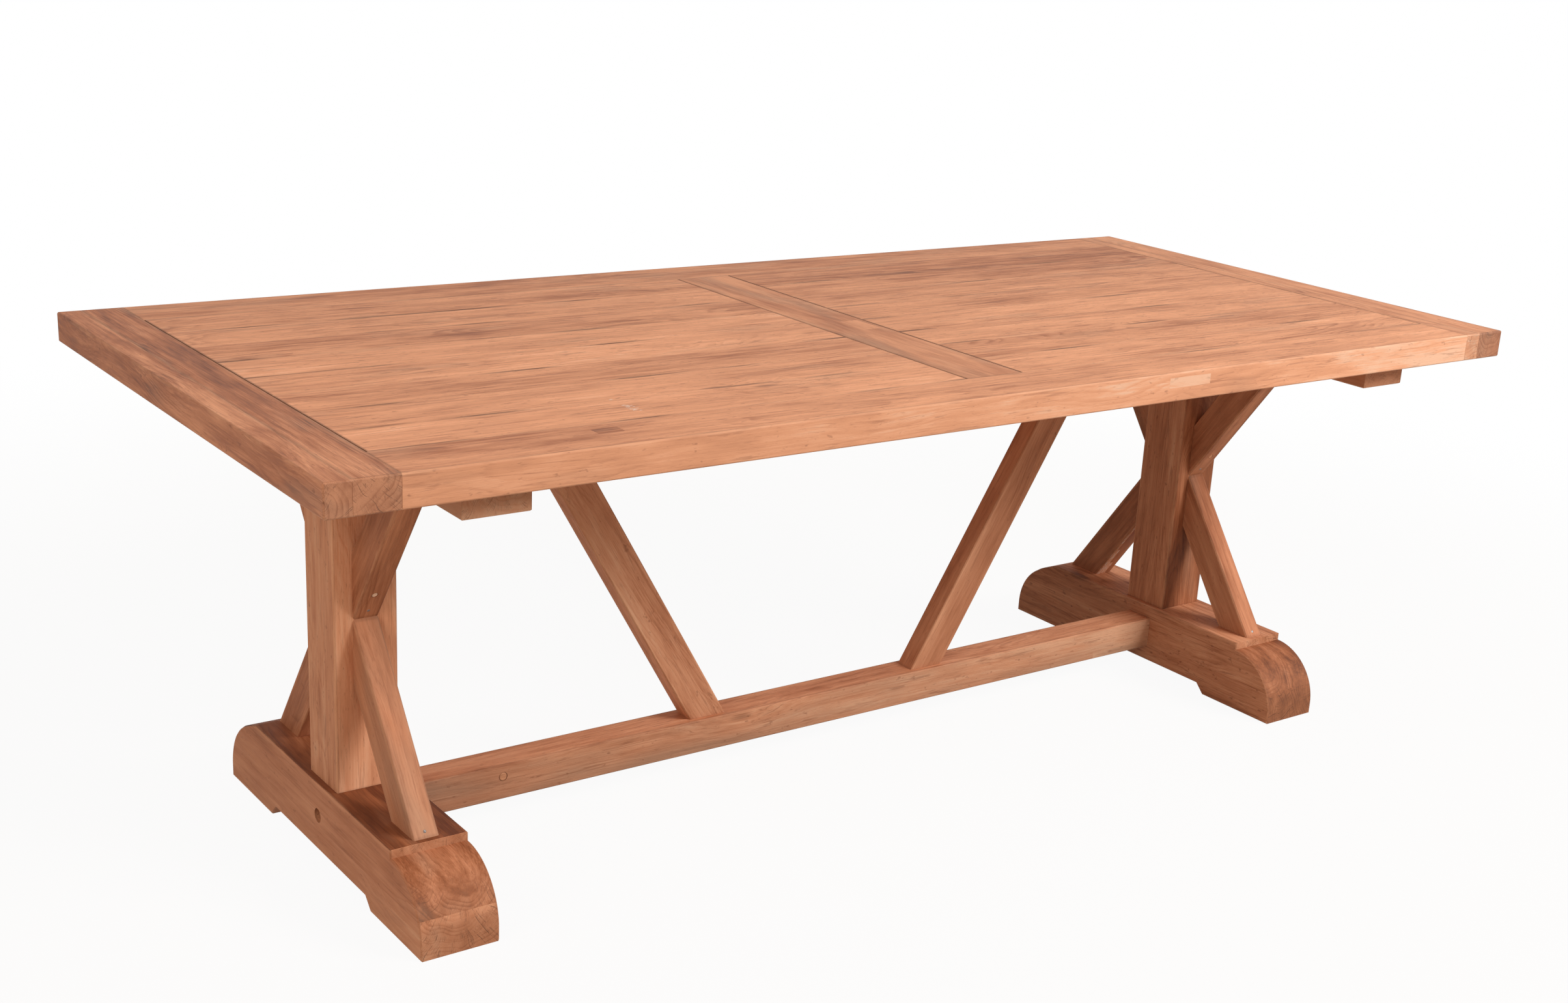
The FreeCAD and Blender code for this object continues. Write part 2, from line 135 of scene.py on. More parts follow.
# Pith of the tree: where it lies beside the board, how it leans for each metre and how it wanders
RING_WIDTH = 7.5 * MM
PITH_SPREAD, PITH_FROM = (0.0, 0.16, 0.09), (0.0, -0.08, -0.13)
LEAN_SPREAD, LEAN_FROM = (0.0, 0.12, 0.30), (0.0, -0.06, -0.15)
LEAN_SEED = 3.7
DRIFT_SIZE, DRIFT_REACH = (300 * MM, 90 * MM, 90 * MM), (0.0, 60 * MM, 60 * MM)
ACROSS = (0.0, 1.0, 1.0)
SEASON_STEP, SEASON_SHARE = 0.6, 2.2
RAGGED_SHARE = 0.7
LATE_WOOD = {**EASED, 1: 0.30, 2: 0.90, 3: 0.0, 4: 1.0}
EARLY_WOOD = {1: 0.90, 2: 1.0, 3: 1.0, 4: 0.0}
RING_PLACES = {**EASED, 1: 0.42, 2: 0.62, 3: 0.03, 4: 0.20}
RING_ON_ENDS = 0.06

# How much calm wood and cut ends hold the grain back, and how a board's tone moves it from dark to pale
CALM_FINE, CALM_BROAD, END_FINE = -0.7, -0.4, -0.85
TONE_SHARE, TONE_MIDDLE = 0.3, 0.55
NOISE_MIDDLE = 0.5

# Weathered grey, and dark marks in the wood: look, range and colour
GREY_SHARE, GREY_PATCH, GREY_START = 0.35, 1.6, -0.93
DARK_MARKS = (
    ("dark", {**EASED, 1: 0.60, 2: 0.76, 3: 0.0, 4: 0.6}, "#80492d"),
    ("fleck", {**EASED, 1: 0.64, 2: 0.74, 3: 0.0, 4: 0.6}, "#6e3e26"),
    ("pore", {**EASED, 1: 0.60, 2: 0.78, 3: 0.0, 4: 0.35}, "#7d4a30"),
)
RESIN_LINE = {**EASED, 1: 0.008, 2: 0.035, 3: 0.5, 4: 0.0}
RESIN_PLACES = {**EASED, 1: 0.50, 2: 0.60, 3: 0.0, 4: 1.0}

# Checks in cut ends, specks of paint, dirt in joints and rubbed arrises
CHECK_COUNT, CHECK_WOBBLE, CHECK_NOISE = 9.0, 0.35, 3.0
CHECK_EDGE = {**EASED, 1: 0.004, 2: 0.022, 3: 0.7, 4: 0.0}
CHECK_PLACES = {**EASED, 1: 0.45, 2: 0.56, 3: 0.0, 4: 1.0}
PAINT_SPECK = {**EASED, 1: 0.52, 2: 0.60, 3: 0.0, 4: 0.8}
JOINT_DIRT = {**EASED, 1: 1.2 * MM, 2: 4.5 * MM, 3: 0.95, 4: 0.0}
END_JOINT_REACH = 4 * MM
RUB_SPREAD, RUB_FROM = 18 * MM, -5 * MM
RUB = {**EASED, 1: 0.0, 2: 4 * MM, 3: 0.0, 4: 0.18}

# Surface of dry sanded wood
WOOD_IOR = 1.5
DULL_SPREAD, DULL_FROM = 0.25, 0.58
RING_RELIEF, PORE_RELIEF = -0.25, -0.5
RELIEF, RELIEF_DEPTH = 0.35, 0.7 * MM


def teak(name, ramp, shares, joint_dirt, end_dirt, gloss):
    """Sanded teak that reads each board's own grain direction, size, tone and seed from its mesh."""
    material, tree = new_material(name)
    told = {label: add(tree, "ShaderNodeAttribute", {"attribute_name": label}).outputs for label in MARKS}
    place, half, board = (told[label]["Vector"] for label in ("grain", "half_size", "board"))
    cut_end, calm, painted_light_fade = (told[label]["Fac"] for label in ("end_grain", "calm", "painted_light_fade"))
    lively = add(tree, MATH, {**TIMES_PLUS, 1: CALM_FINE, 2: 1.0}, {0: calm})
    broad = add(tree, MATH, {**TIMES_PLUS, 1: CALM_BROAD, 2: 1.0}, {0: calm})
    long_face = add(tree, MATH, {**TIMES_PLUS, 1: END_FINE, 2: 1.0}, {0: cut_end})
    fine = add(tree, MATH, TIMES, {0: lively, 1: long_face})
    board_tone, grey, seed = add(tree, SPLIT, links={0: board}).outputs
    # Painted light: the board's tone with its painted light fade added, and its grey less that fade
    tone = add(tree, MATH, PLUS, {0: board_tone, 1: painted_light_fade})
    weathered_less_light = add(tree, MATH, MINUS, {0: grey, 1: painted_light_fade})
    away = add(tree, VECTOR, {"operation": "SCALE", 0: SEED_STEP}, {"Scale": seed})
    moved = add(tree, VECTOR, PLUS, {0: place, 1: away})

    # Knots, and the grain that swerves round them
    cell = add(tree, VECTOR, {**OVER, 1: KNOT_CELL}, {0: moved})
    knot_far = add(tree, VORONOI, {"Scale": 1.0}, {"Vector": cell})
    knot = add(tree, RANGE, KNOT_EDGE, {0: knot_far})
    swerve = add(tree, RANGE, KNOT_SWERVE, {0: knot_far})
    aside = add(tree, COMBINE, links={1: swerve, 2: swerve})
    bent = add(tree, VECTOR, PLUS, {0: moved, 1: aside})

    # Streaks, fibres, pores and broad patches of tone
    looks = {}
    for look, (size, detail, swerves) in GRAIN_LOOKS.items():
        at = add(tree, VECTOR, {**OVER, 1: size}, {0: bent if swerves else moved})
        looks[look] = add(tree, NOISE, {"Scale": 1.0, "Detail": detail, "Roughness": GRAIN_ROUGHNESS},
                          {"Vector": at}).outputs[0]

    # Growth rings round a pith that lies beside the board, leans across it and wanders
    along = add(tree, SPLIT, links={0: place}).outputs["X"]
    pith = add(tree, CHANCE, {"noise_dimensions": "1D"}, {"W": seed}).outputs["Color"]
    pith_at = add(tree, VECTOR, {**TIMES_PLUS, 1: PITH_SPREAD, 2: PITH_FROM}, {0: pith})
    lean_seed = add(tree, MATH, {**PLUS, 1: LEAN_SEED}, {0: seed})
    lean = add(tree, CHANCE, {"noise_dimensions": "1D"}, {"W": lean_seed}).outputs["Color"]
    lean_by = add(tree, VECTOR, {**TIMES_PLUS, 1: LEAN_SPREAD, 2: LEAN_FROM}, {0: lean})
    leaning = add(tree, VECTOR, {"operation": "SCALE"}, {0: lean_by, "Scale": along})
    drift_at = add(tree, VECTOR, {**OVER, 1: DRIFT_SIZE}, {0: moved})
    drift = add(tree, NOISE, {"Scale": 1.0, "Detail": 2.0}, {"Vector": drift_at}).outputs["Color"]
    from_pith = add(tree, VECTOR, PLUS, {0: place, 1: pith_at})
    tilted = add(tree, VECTOR, PLUS, {0: from_pith, 1: leaning})
    wander = add(tree, VECTOR, {**TIMES_PLUS, 1: DRIFT_REACH}, {0: drift, 2: tilted})
    ring_at = add(tree, VECTOR, PLUS, {0: wander, 1: aside})
    ring_plane = add(tree, VECTOR, {**TIMES, 1: ACROSS}, {0: ring_at})
    radius = add(tree, VECTOR, {"operation": "LENGTH"}, {0: ring_plane}).outputs["Value"]
    year = add(tree, MATH, {**TIMES, 1: 1 / RING_WIDTH}, {0: radius})
    season_at = add(tree, MATH, {**TIMES_PLUS, 1: SEASON_STEP}, {0: year, 2: seed})
    season = add(tree, NOISE, {"noise_dimensions": "1D", "Scale": 1.0, "Detail": 1.0}, {"W": season_at})
    uneven = add(tree, MATH, {**TIMES_PLUS, 1: SEASON_SHARE}, {0: season.outputs[0], 2: year})
    ragged = add(tree, MATH, TIMES, {0: looks["fibre"], 1: long_face})
    rough_year = add(tree, MATH, {**TIMES_PLUS, 1: RAGGED_SHARE}, {0: ragged, 2: uneven})
    part_year = add(tree, MATH, {"operation": "FRACT"}, {0: rough_year})
    late = add(tree, RANGE, LATE_WOOD, {0: part_year})
    early = add(tree, RANGE, EARLY_WOOD, {0: part_year})
    ring = add(tree, MATH, TIMES, {0: late, 1: early})
    ring_here = add(tree, RANGE, RING_PLACES, {0: looks["figure"]})
    ring_show = add(tree, MATH, {**TIMES_PLUS, 1: RING_ON_ENDS}, {0: cut_end, 2: ring_here})
    ring_dark = add(tree, MATH, TIMES, {0: ring, 1: ring_show})
    ring_dark = add(tree, MATH, TIMES, {0: ring_dark, 1: lively})

    # One value from dark to pale, centred on the board's own tone, which also carries its painted light and
    # shade
    value = add(tree, MATH, {**TIMES_PLUS, 1: TONE_SHARE, 2: TONE_MIDDLE}, {0: tone})
    damping = {"band": broad, "mottle": lively, "streak": fine, "fibre": fine}
    for look, share in shares.items():
        swing = add(tree, MATH, {**MINUS, 1: NOISE_MIDDLE}, {0: looks[look]})
        if look in damping:
            swing = add(tree, MATH, TIMES, {0: swing, 1: damping[look]})
        value = add(tree, MATH, {**TIMES_PLUS, 1: share}, {0: swing, 2: value})
    value = add(tree, MATH, MINUS, {0: value, 1: ring_dark})
    colour = add(tree, "ShaderNodeValToRGB", links={0: value})
    stops = colour.color_ramp.elements
    stops[0].position, stops[0].color = ramp[0][0], linear(ramp[0][1])
    stops[1].position, stops[1].color = ramp[-1][0], linear(ramp[-1][1])
    for position, code in ramp[1:-1]:
        stops.new(position).color = linear(code)

    # Weathered grey, lessened where light is painted on, dark mineral streaks, flecks and knots over it
    patch = add(tree, MATH, {**TIMES_PLUS, 1: GREY_PATCH, 2: GREY_START}, {0: looks["figure"]})
    grey_share = add(tree, MATH, {**TIMES_PLUS, 1: GREY_SHARE, "use_clamp": True},
                     {0: weathered_less_light, 2: patch})
    stains = [(grey_share, "#a0846e")]
    for look, reach, code in DARK_MARKS:
        mask = add(tree, RANGE, reach, {0: looks[look]})
        mask = add(tree, MATH, TIMES, {0: mask, 1: lively})
        stains.append((mask, code))
    stains.append((knot, "#5d3521"))

    # Long thin lines of dark resin, where the wood is restless
    line_off = add(tree, MATH, {**MINUS, 1: NOISE_MIDDLE}, {0: looks["line"]})
    line_off = add(tree, MATH, {"operation": "ABSOLUTE"}, {0: line_off})
    line = add(tree, RANGE, RESIN_LINE, {0: line_off})
    restless = add(tree, RANGE, RESIN_PLACES, {0: looks["mottle"]})
    line = add(tree, MATH, TIMES, {0: line, 1: restless})
    line = add(tree, MATH, TIMES, {0: line, 1: lively})
    stains.append((line, "#7a452b"))

    # Cut ends drink in dirt, look duller and have dark checks that run out from the pith
    end_share = add(tree, MATH, {**TIMES, 1: end_dirt}, {0: cut_end})
    stains.append((end_share, "#84583d"))
    ring_side = add(tree, SPLIT, links={0: ring_plane}).outputs
    bearing = add(tree, MATH, {"operation": "ARCTAN2"}, {0: ring_side["Z"], 1: ring_side["Y"]})
    ray = add(tree, MATH, {**TIMES_PLUS, 1: CHECK_COUNT}, {0: bearing, 2: seed})
    ray = add(tree, MATH, {**TIMES_PLUS, 1: CHECK_WOBBLE}, {0: looks["mottle"], 2: ray})
    ray = add(tree, NOISE, {"noise_dimensions": "1D", "Scale": CHECK_NOISE, "Detail": 2.0}, {"W": ray})
    ray_off = add(tree, MATH, {**MINUS, 1: NOISE_MIDDLE}, {0: ray.outputs[0]})
    ray_off = add(tree, MATH, {"operation": "ABSOLUTE"}, {0: ray_off})
    check = add(tree, RANGE, CHECK_EDGE, {0: ray_off})
    check_here = add(tree, RANGE, CHECK_PLACES, {0: looks["mottle"]})
    check = add(tree, MATH, TIMES, {0: check, 1: check_here})
    check = add(tree, MATH, TIMES, {0: check, 1: cut_end})
    stains.append((check, "#4a2a19"))

    # Specks of old white paint left in the grain
    speck = add(tree, RANGE, PAINT_SPECK, {0: looks["paint"]})
    speck = add(tree, MATH, TIMES, {0: speck, 1: told["painted"]["Fac"]})
    stains.append((speck, "#e9dcd2"))

    # Distance from each side of the board, for dirt in the joints and rubbed arrises
    from_middle = add(tree, VECTOR, {"operation": "ABSOLUTE"}, {0: place})
    from_side = add(tree, VECTOR, MINUS, {0: half, 1: from_middle})
    side = add(tree, SPLIT, links={0: from_side}).outputs
    dirt_edge = add(tree, RANGE, JOINT_DIRT, {0: side["Y"]})
    dirt_long = add(tree, MATH, TIMES, {0: dirt_edge, 1: told["open_joint"]["Fac"]})
    dirt_end = add(tree, RANGE, {**EASED, 1: 0.0, 2: END_JOINT_REACH, 3: joint_dirt, 4: 0.0}, {0: side["X"]})
    dirt = add(tree, MATH, {"operation": "MAXIMUM"}, {0: dirt_long, 1: dirt_end})
    stains.append((dirt, "#5a3825"))
    arris = add(tree, VECTOR, {**TIMES, 1: ACROSS}, {0: from_side})
    arris_far = add(tree, VECTOR, {"operation": "LENGTH"}, {0: arris}).outputs["Value"]
    rub_width = add(tree, MATH, {**TIMES_PLUS, 1: RUB_SPREAD, 2: RUB_FROM}, {0: looks["mottle"]})
    rubbed = add(tree, MATH, MINUS, {0: rub_width, 1: arris_far})
    rub = add(tree, RANGE, RUB, {0: rubbed})
    stains.append((rub, "#e0b08c"))

    # All of these over the wood's own colour, one after another
    shade = colour.outputs[0]
    for mask, code in stains:
        shade = add(tree, MIX, {**COLOUR_MIX, "B": linear(code)}, {"Factor": mask, "A": shade}).outputs[2]

    # Dry sanded wood: dull, more so along some fibres; rings and pores are felt with a nail
    dull = add(tree, MATH, {**TIMES_PLUS, 1: DULL_SPREAD, 2: DULL_FROM}, {0: looks["fibre"]})
    relief = add(tree, MATH, {**TIMES_PLUS, 1: RING_RELIEF}, {0: ring, 2: looks["fibre"]})
    relief = add(tree, MATH, {**TIMES_PLUS, 1: PORE_RELIEF}, {0: looks["pore"], 2: relief})
    bump = add(tree, "ShaderNodeBump", {"Strength": RELIEF, "Distance": RELIEF_DEPTH}, {"Height": relief})
    surface = add(tree, "ShaderNodeBsdfPrincipled", {"IOR": WOOD_IOR, "Specular IOR Level": gloss},
                  {"Base Color": shade, "Roughness": dull, "Normal": bump})
    add(tree, "ShaderNodeOutputMaterial", links={"Surface": surface})
    return material


# Zinc-plated mild steel, rolled. The eye gets cold grey, faint spangles and brown bloom where it has worn.

SPANGLE, BLOOM = 3 * MM, 6 * MM
RUST = {**EASED, 1: 0.48, 2: 0.64, 3: 0.0, 4: 0.7}
METAL_UNDER_RUST = {1: 0.0, 2: 0.7, 3: 1.0, 4: 0.2}
STEEL_DULL_SPREAD, STEEL_DULL_FROM = 0.4, 0.4
BLOOM_SHARE, BLOOM_DEPTH = 0.3, 0.2 * MM


def zinc_plated_steel():
    """Zinc-plated steel with spangles and bloom of rust."""
    material, tree = new_material("zinc_plated_steel_rolled")
    place = add(tree, "ShaderNodeTexCoord").outputs["Object"]
    spangle_at = add(tree, VECTOR, {"operation": "SCALE", "Scale": 1 / SPANGLE}, {0: place})
    spangle = add(tree, VORONOI, {"Scale": 1.0}, {"Vector": spangle_at}).outputs["Color"]
    bloom_at = add(tree, VECTOR, {"operation": "SCALE", "Scale": 1 / BLOOM}, {0: place})
    bloom = add(tree, NOISE, {"Scale": 1.0, "Detail": 4.0}, {"Vector": bloom_at}).outputs[0]
    grey = add(tree, MIX, {**COLOUR_MIX, "A": linear("#787979"), "B": linear("#9a9b9a")}, {"Factor": spangle})
    rust = add(tree, RANGE, RUST, {0: bloom})
    colour = add(tree, MIX, {**COLOUR_MIX, "B": linear("#6b4a35")}, {"Factor": rust, "A": grey.outputs[2]})
    metal = add(tree, RANGE, METAL_UNDER_RUST, {0: rust})
    dull = add(tree, MATH, {**TIMES_PLUS, 1: STEEL_DULL_SPREAD, 2: STEEL_DULL_FROM}, {0: bloom})
    bump = add(tree, "ShaderNodeBump", {"Strength": BLOOM_SHARE, "Distance": BLOOM_DEPTH}, {"Height": bloom})
    surface = add(tree, "ShaderNodeBsdfPrincipled", links={
        "Base Color": colour.outputs[2], "Metallic": metal, "Roughness": dull, "Normal": bump})
    add(tree, "ShaderNodeOutputMaterial", links={"Surface": surface})
    return material


TOP_RAMP = ((0.0, "#703e25"), (0.25, "#a76a48"), (0.5, "#d0926d"), (0.75, "#e6a57d"), (0.88, "#f0b18a"),
            (1.0, "#f3c4a4"))
TRESTLE_RAMP = ((0.0, "#65361e"), (0.25, "#955b3a"), (0.5, "#be815e"), (0.75, "#d69b77"), (1.0, "#e4b391"))
PLUG_RAMP = ((0.0, "#8d5a3c"), (0.5, "#cf9873"), (1.0, "#f7dfca"))

# How much each look of the grain moves the tone of planks, frame boards, trestle timbers and plugs
PLANK_GRAIN = {"patch": 0.7, "cloud": 0.3, "band": 0.3, "mottle": 0.5, "streak": 0.7, "fibre": 0.57}
FRAME_GRAIN = {"patch": 0.7, "cloud": 0.6, "band": 0.3, "mottle": 0.45, "streak": 0.55, "fibre": 0.5}
TRESTLE_GRAIN = {"patch": 0.6, "cloud": 0.55, "band": 0.45, "mottle": 0.55, "streak": 0.75, "fibre": 0.6}
PLUG_GRAIN = {"mottle": 0.45, "streak": 0.6, "fibre": 0.5}

finishes = {
    "teak_planks": teak("teak_planks_sanded", TOP_RAMP, PLANK_GRAIN, joint_dirt=0.7, end_dirt=0.4, gloss=0.5),
    "teak_top_frame": teak("teak_frame_boards_sanded", TOP_RAMP, FRAME_GRAIN,
                           joint_dirt=0.35, end_dirt=0.14, gloss=0.5),
    "teak_trestle": teak("teak_trestle_timbers_sanded", TRESTLE_RAMP, TRESTLE_GRAIN,
                         joint_dirt=0.2, end_dirt=0.3, gloss=0.3),
    "teak_plugs": teak("teak_plugs_sanded", PLUG_RAMP, PLUG_GRAIN, joint_dirt=0.5, end_dirt=0.4, gloss=0.3),
    "zinc_plated_steel": zinc_plated_steel(),
}

# Tone and weathering of the boards that the photograph tells apart, some with painted light and shade
BOARD_TONES = {
    "plank_left_1": (-0.2, 0.1), "plank_left_2": (0.2, 0.0), "plank_left_3": (-0.3, 0.1),
    "plank_left_4": (0.6, -0.1), "plank_left_5": (0.45, 0.0), "plank_left_6": (-0.05, 0.0),
    "plank_left_7": (0.2, 0.0), "plank_left_8": (0.35, 0.0),
    "plank_right_1": (-0.6, 0.1), "plank_right_2": (-0.45, 0.1), "plank_right_3": (0.0, 0.1),
    "plank_right_4": (-0.05, 0.1), "plank_right_5": (0.25, 0.0), "plank_right_6": (0.15, 0.0),
    "plank_right_7": (0.0, 0.0), "plank_right_8": (0.35, 0.0),
    "rail_front": (0.15, -0.3), "rail_back": (-0.2, 0.1), "centre_board": (-0.4, 0.5),
    "end_board_left_outer_strip": (-0.6, 0.2), "end_board_left_inner_strip": (-0.85, 0.3),
    "end_board_right_outer_strip": (0.05, 0.0), "end_board_right_inner_strip": (-0.2, 0.2),
    "post_left": (0.55, -0.3), "post_right": (0.3, -0.3),
    "foot_left": (0.15, -0.2), "foot_right": (0.1, -0.2),
    # Painted light: bolster_left paler, in the top's shadow. Painted shade: brace_left_front_upper,
    # brace_right_front_lower and brace_right_front_upper darker, in the shade under the top
    "bolster_left": (1.2, -0.5), "bolster_right": (0.4, -0.3), "stretcher": (0.82, 1.0),
    "diagonal_left": (0.55, -0.3), "diagonal_right": (0.05, -0.3), "brace_left_front_lower": (0.25, 1.0),
    "brace_left_front_upper": (-0.42, -0.2), "brace_right_front_lower": (-0.55, 0.0),
    "brace_right_front_upper": (-0.65, -0.2), "brace_right_back_lower": (-0.5, -0.2),
}

# Lowest and highest tone and weathering drawn for the other boards
TONE_DRAW, GREY_DRAW = (-0.25, 0.25), (-0.1, 0.2)

# Painted light: boards painted paler and less grey towards the right: change of tone for each metre
PAINTED_LIGHT_FADES = {"rail_front": 0.35, "stretcher": 0.75}

# How little the grain shows in each kind of timber
CALMNESS = {"teak_planks": 0.0, "teak_top_frame": 0.2, "teak_trestle": 0.75}

# Blocks glued up into one timber, let into it or worn otherwise, and blocks of painted shade and painted
# light: opposite corners in millimetres, and how they differ from the timber. One whose grain isn't the
# timber's has "own".
FAR = 5000
LOW, HIGH = (-FAR, -FAR, -FAR), (FAR, FAR, FAR)
FRONT_END = (FAR, -498, FAR)
BLOCKS = {
    "post_left": [(LOW, HIGH, {"calm": 0.35}),
                  (LOW, (FAR, -15, FAR), {"tone": -0.1, "calm": 0.35, "own": 0.5}),
                  (LOW, (FAR, -47, FAR), {"tone": 0.4, "calm": 0.6})],
    "post_right": [(LOW, HIGH, {"calm": 0.3}),
                   (LOW, (FAR, -15, FAR), {"tone": -0.1, "calm": 0.3, "own": 1.0}),
                   # Painted shade: the right post's front face darker, where the top and the brace shade it
                   (LOW, (FAR, -47, FAR), {"tone": -1.25})],
    "diagonal_left": [(LOW, HIGH, {"calm": 0.35})],
    "diagonal_right": [(LOW, HIGH, {"calm": 0.7})],
    "foot_left": [(LOW, (FAR, FAR, 57), {"tone": 0.15, "own": 1.0}),
                  # Left foot's nose above its bottom layer: greyer with weather, and darker as painted shade
                  # low down
                  ((-910, -FAR, 57), (-794, -253, FAR), {"tone": -0.7, "grey": 0.5, "calm": 0.35}),
                  ((-910, -FAR, -FAR), (-794, -253, 57), {"tone": -0.1, "calm": 0.5}),
                  # Painted shade: the left foot's top and its sloping back end darker, in the shade under the
                  # table
                  ((-FAR, -252, 127), HIGH, {"tone": -1.6, "calm": 0.9}),
                  ((-911.9, 243, 108), (-792.1, FAR, 127), {"tone": -1.6, "calm": 0.9})],
    "foot_right": [(LOW, HIGH, {"calm": 0.1}),
                   (LOW, (FAR, FAR, 57), {"tone": 0.1, "calm": 0.1, "own": 1.0}),
                   # Painted shade: the right foot's nose darker, low down where less light reaches
                   ((794, -FAR, -FAR), (910, -253, FAR), {"tone": -1.25, "calm": 0.4})],
    "stretcher": [(LOW, HIGH, {"calm": 0.3}),
                  ((-FAR, -FAR, 46), (645, -28, 59), {"tone": -0.25, "calm": 0.4}),
                  ((645, -FAR, 46), (FAR, -28, 59), {"tone": 0.3, "own": 1.0}),
                  # Painted shade: the top face darker and redder than the lit front face; below it a darker
                  # strip along the top front arris
                  ((-FAR, -FAR, 103.5), HIGH, {"tone": -0.57, "grey": -1.7, "calm": 0.3, "painted_light_fade": 0.0}),
                  ((-FAR, -FAR, 101.5), (FAR, -27, FAR), {"tone": -0.6, "calm": 0.3})],
    # Painted light: the rail's front face paler, where the light falls full on it
    "rail_front": [(LOW, FRONT_END, {"tone": 0.72, "calm": 0.45, "own": 0.35}),
                   ((271, -FAR, 726), (360, -498, 742), {"tone": 0.9, "calm": 0.9, "own": 1.0}),
                   ((-705, -444, 749), (-666, -422, FAR), {"tone": -0.75, "grey": 0.3, "own": 1.0})],
    # Painted light: the left sides of the right front braces paler, though they face away from the light
    "brace_right_front_lower": [(LOW, (833, FAR, FAR), {"tone": 0.8})],
    "brace_right_front_upper": [(LOW, (833, FAR, FAR), {"tone": 0.4})],
    "brace_right_back_lower": [((832.9, 148, 100), (856, FAR, 200), {"tone": 3.5, "paint": 2.5}),
                               ((832.9, 122, 100), (846, 148, 230), {"tone": 3.5, "paint": 2.5}),
                               ((832.9, 62, 100), (838.5, 122, 290), {"tone": 3.0, "paint": 1.5})],
    "end_board_left_outer_strip": [(LOW, FRONT_END, {"tone": 0.3})],
    "end_board_left_inner_strip": [(LOW, FRONT_END, {"tone": 0.5})],
    "end_board_right_inner_strip": [(LOW, FRONT_END, {"tone": 1.5})],
    "end_board_right_outer_strip": [(LOW, FRONT_END, {"tone": -0.7, "grey": 0.6})],
    "centre_board": [(LOW, HIGH, {"calm": 0.8}),
                     ((9, -66, 749), (44, 0, FAR), {"tone": 0.2, "calm": 0.8, "own": 1.0})],
    "brace_plugs": [((0, -FAR, -FAR), HIGH, {"tone": -1.5}),
                    ((-FAR, 0, -FAR), (0, FAR, FAR), {"tone": -1.5})],
    "plank_left_7": [((-606, -312, 749), (-590, -296, FAR), {"paint": 1.0})],
    "plank_left_8": [((-604, -364, 749), (-590, -328, FAR), {"paint": 1.0})],
}
BLOCK_SEED_STEP = 0.37

# Joints between planks open in places, in two swells: share and length of each
JOINT_STEP = 40 * MM
JOINT_OPEN, JOINT_SHUT = 1.1 * MM, 0.05 * MM
JOINT_SEED_STEP = 100
FULL_TURN = 6.28
LONG_SWELL, LONG_SWELL_LENGTH = 0.35, 85 * MM
SHORT_SWELL, SHORT_SWELL_LENGTH = 0.25, 30 * MM
SWELL_MIDDLE, SWELL_START = 0.5, 0.55
SWELL_WIDTH = 2.6 * MM
LIP_SHARE = 0.2
# Joints that gape: field, joint counted from the back, from and to, and the gap on each side
WIDE_JOINTS = (
    ("left", 1, -0.76, -0.48, 1.1 * MM), ("left", 8, -1.0, -0.86, 0.9 * MM),
    ("left", 4, -0.98, -0.80, 0.7 * MM), ("right", 3, 0.30, 0.55, 0.7 * MM),
    ("right", 6, 0.62, 0.95, 0.6 * MM),
)
# Dirt along the edges of timbers and plugs, beside that of an open joint
TIMBER_EDGE_DIRT, PLUG_EDGE_DIRT = 0.3, 0.12

MERGE_GAP = 0.005 * MM
CUT_MARGIN = 0.8 * MM
FLAT_ANGLE = math.radians(0.5)
SHARP_ANGLE = math.radians(35)
ARRIS_ANGLES = (math.radians(25), math.radians(100))
ARRIS_LENGTH = 12 * MM
ARRIS_ROUND = 0.6 * MM
ARRIS_STEPS = 2

# Back ends of the feet: place towards the back and height of the slope, in millimetres
BACK_SLOPE = ((243.5, 128.0), (253.0, 125.5), (265.0, 121.0), (275.0, 116.5), (285.0, 112.0), (292.0, 108.3),
              (305.0, 99.5))
SIDE_CHAMFER = 2.2 * MM


def longest_direction(shape):
    """Unit vector along the longest edge, which is the way a timber's grain runs."""
    longest = max(shape.edges, key=lambda edge: edge.calc_length())
    run = longest.verts[1].co - longest.verts[0].co
    return run.normalized()


def grain_axes(along):
    """Directions along, across and through a board whose grain runs one way."""
    nearly_upright = 0.95
    up = Vector((0, 0, 1)) if abs(along.z) < nearly_upright else Vector((0, 1, 0))
    through = (up - up.dot(along) * along).normalized()
    return np.array([along, through.cross(along), through])


def body_limits(shape, axes):
    """Lowest and highest corner of a board in its own axes, without its tongues and tenons."""
    corners = np.array([v.co for v in shape.verts]) @ axes.T
    low, high = corners.min(0), corners.max(0)
    widest = max(shape.faces, key=lambda face: face.calc_area())
    face = np.array([v.co for v in widest.verts]) @ axes.T
    face_low, face_high = face.min(0), face.max(0)
    shown = (face_high - face_low) > (high - low) / 2
    return np.where(shown, face_low, low), np.where(shown, face_high, high)


def write_attribute(mesh, name, kind, domain, values):
    """Store one value for each point, face or corner of a mesh."""
    field = "value" if kind == "FLOAT" else "vector"
    layer = mesh.attributes.new(name, kind, domain)
    layer.data.foreach_set(field, np.asarray(values, np.float32).ravel())


def blocks_of(node):
    """Blocks of a node, their corners in metres."""
    return [(np.array(low) * MM, np.array(high) * MM, look) for low, high, look in BLOCKS.get(node, ())]


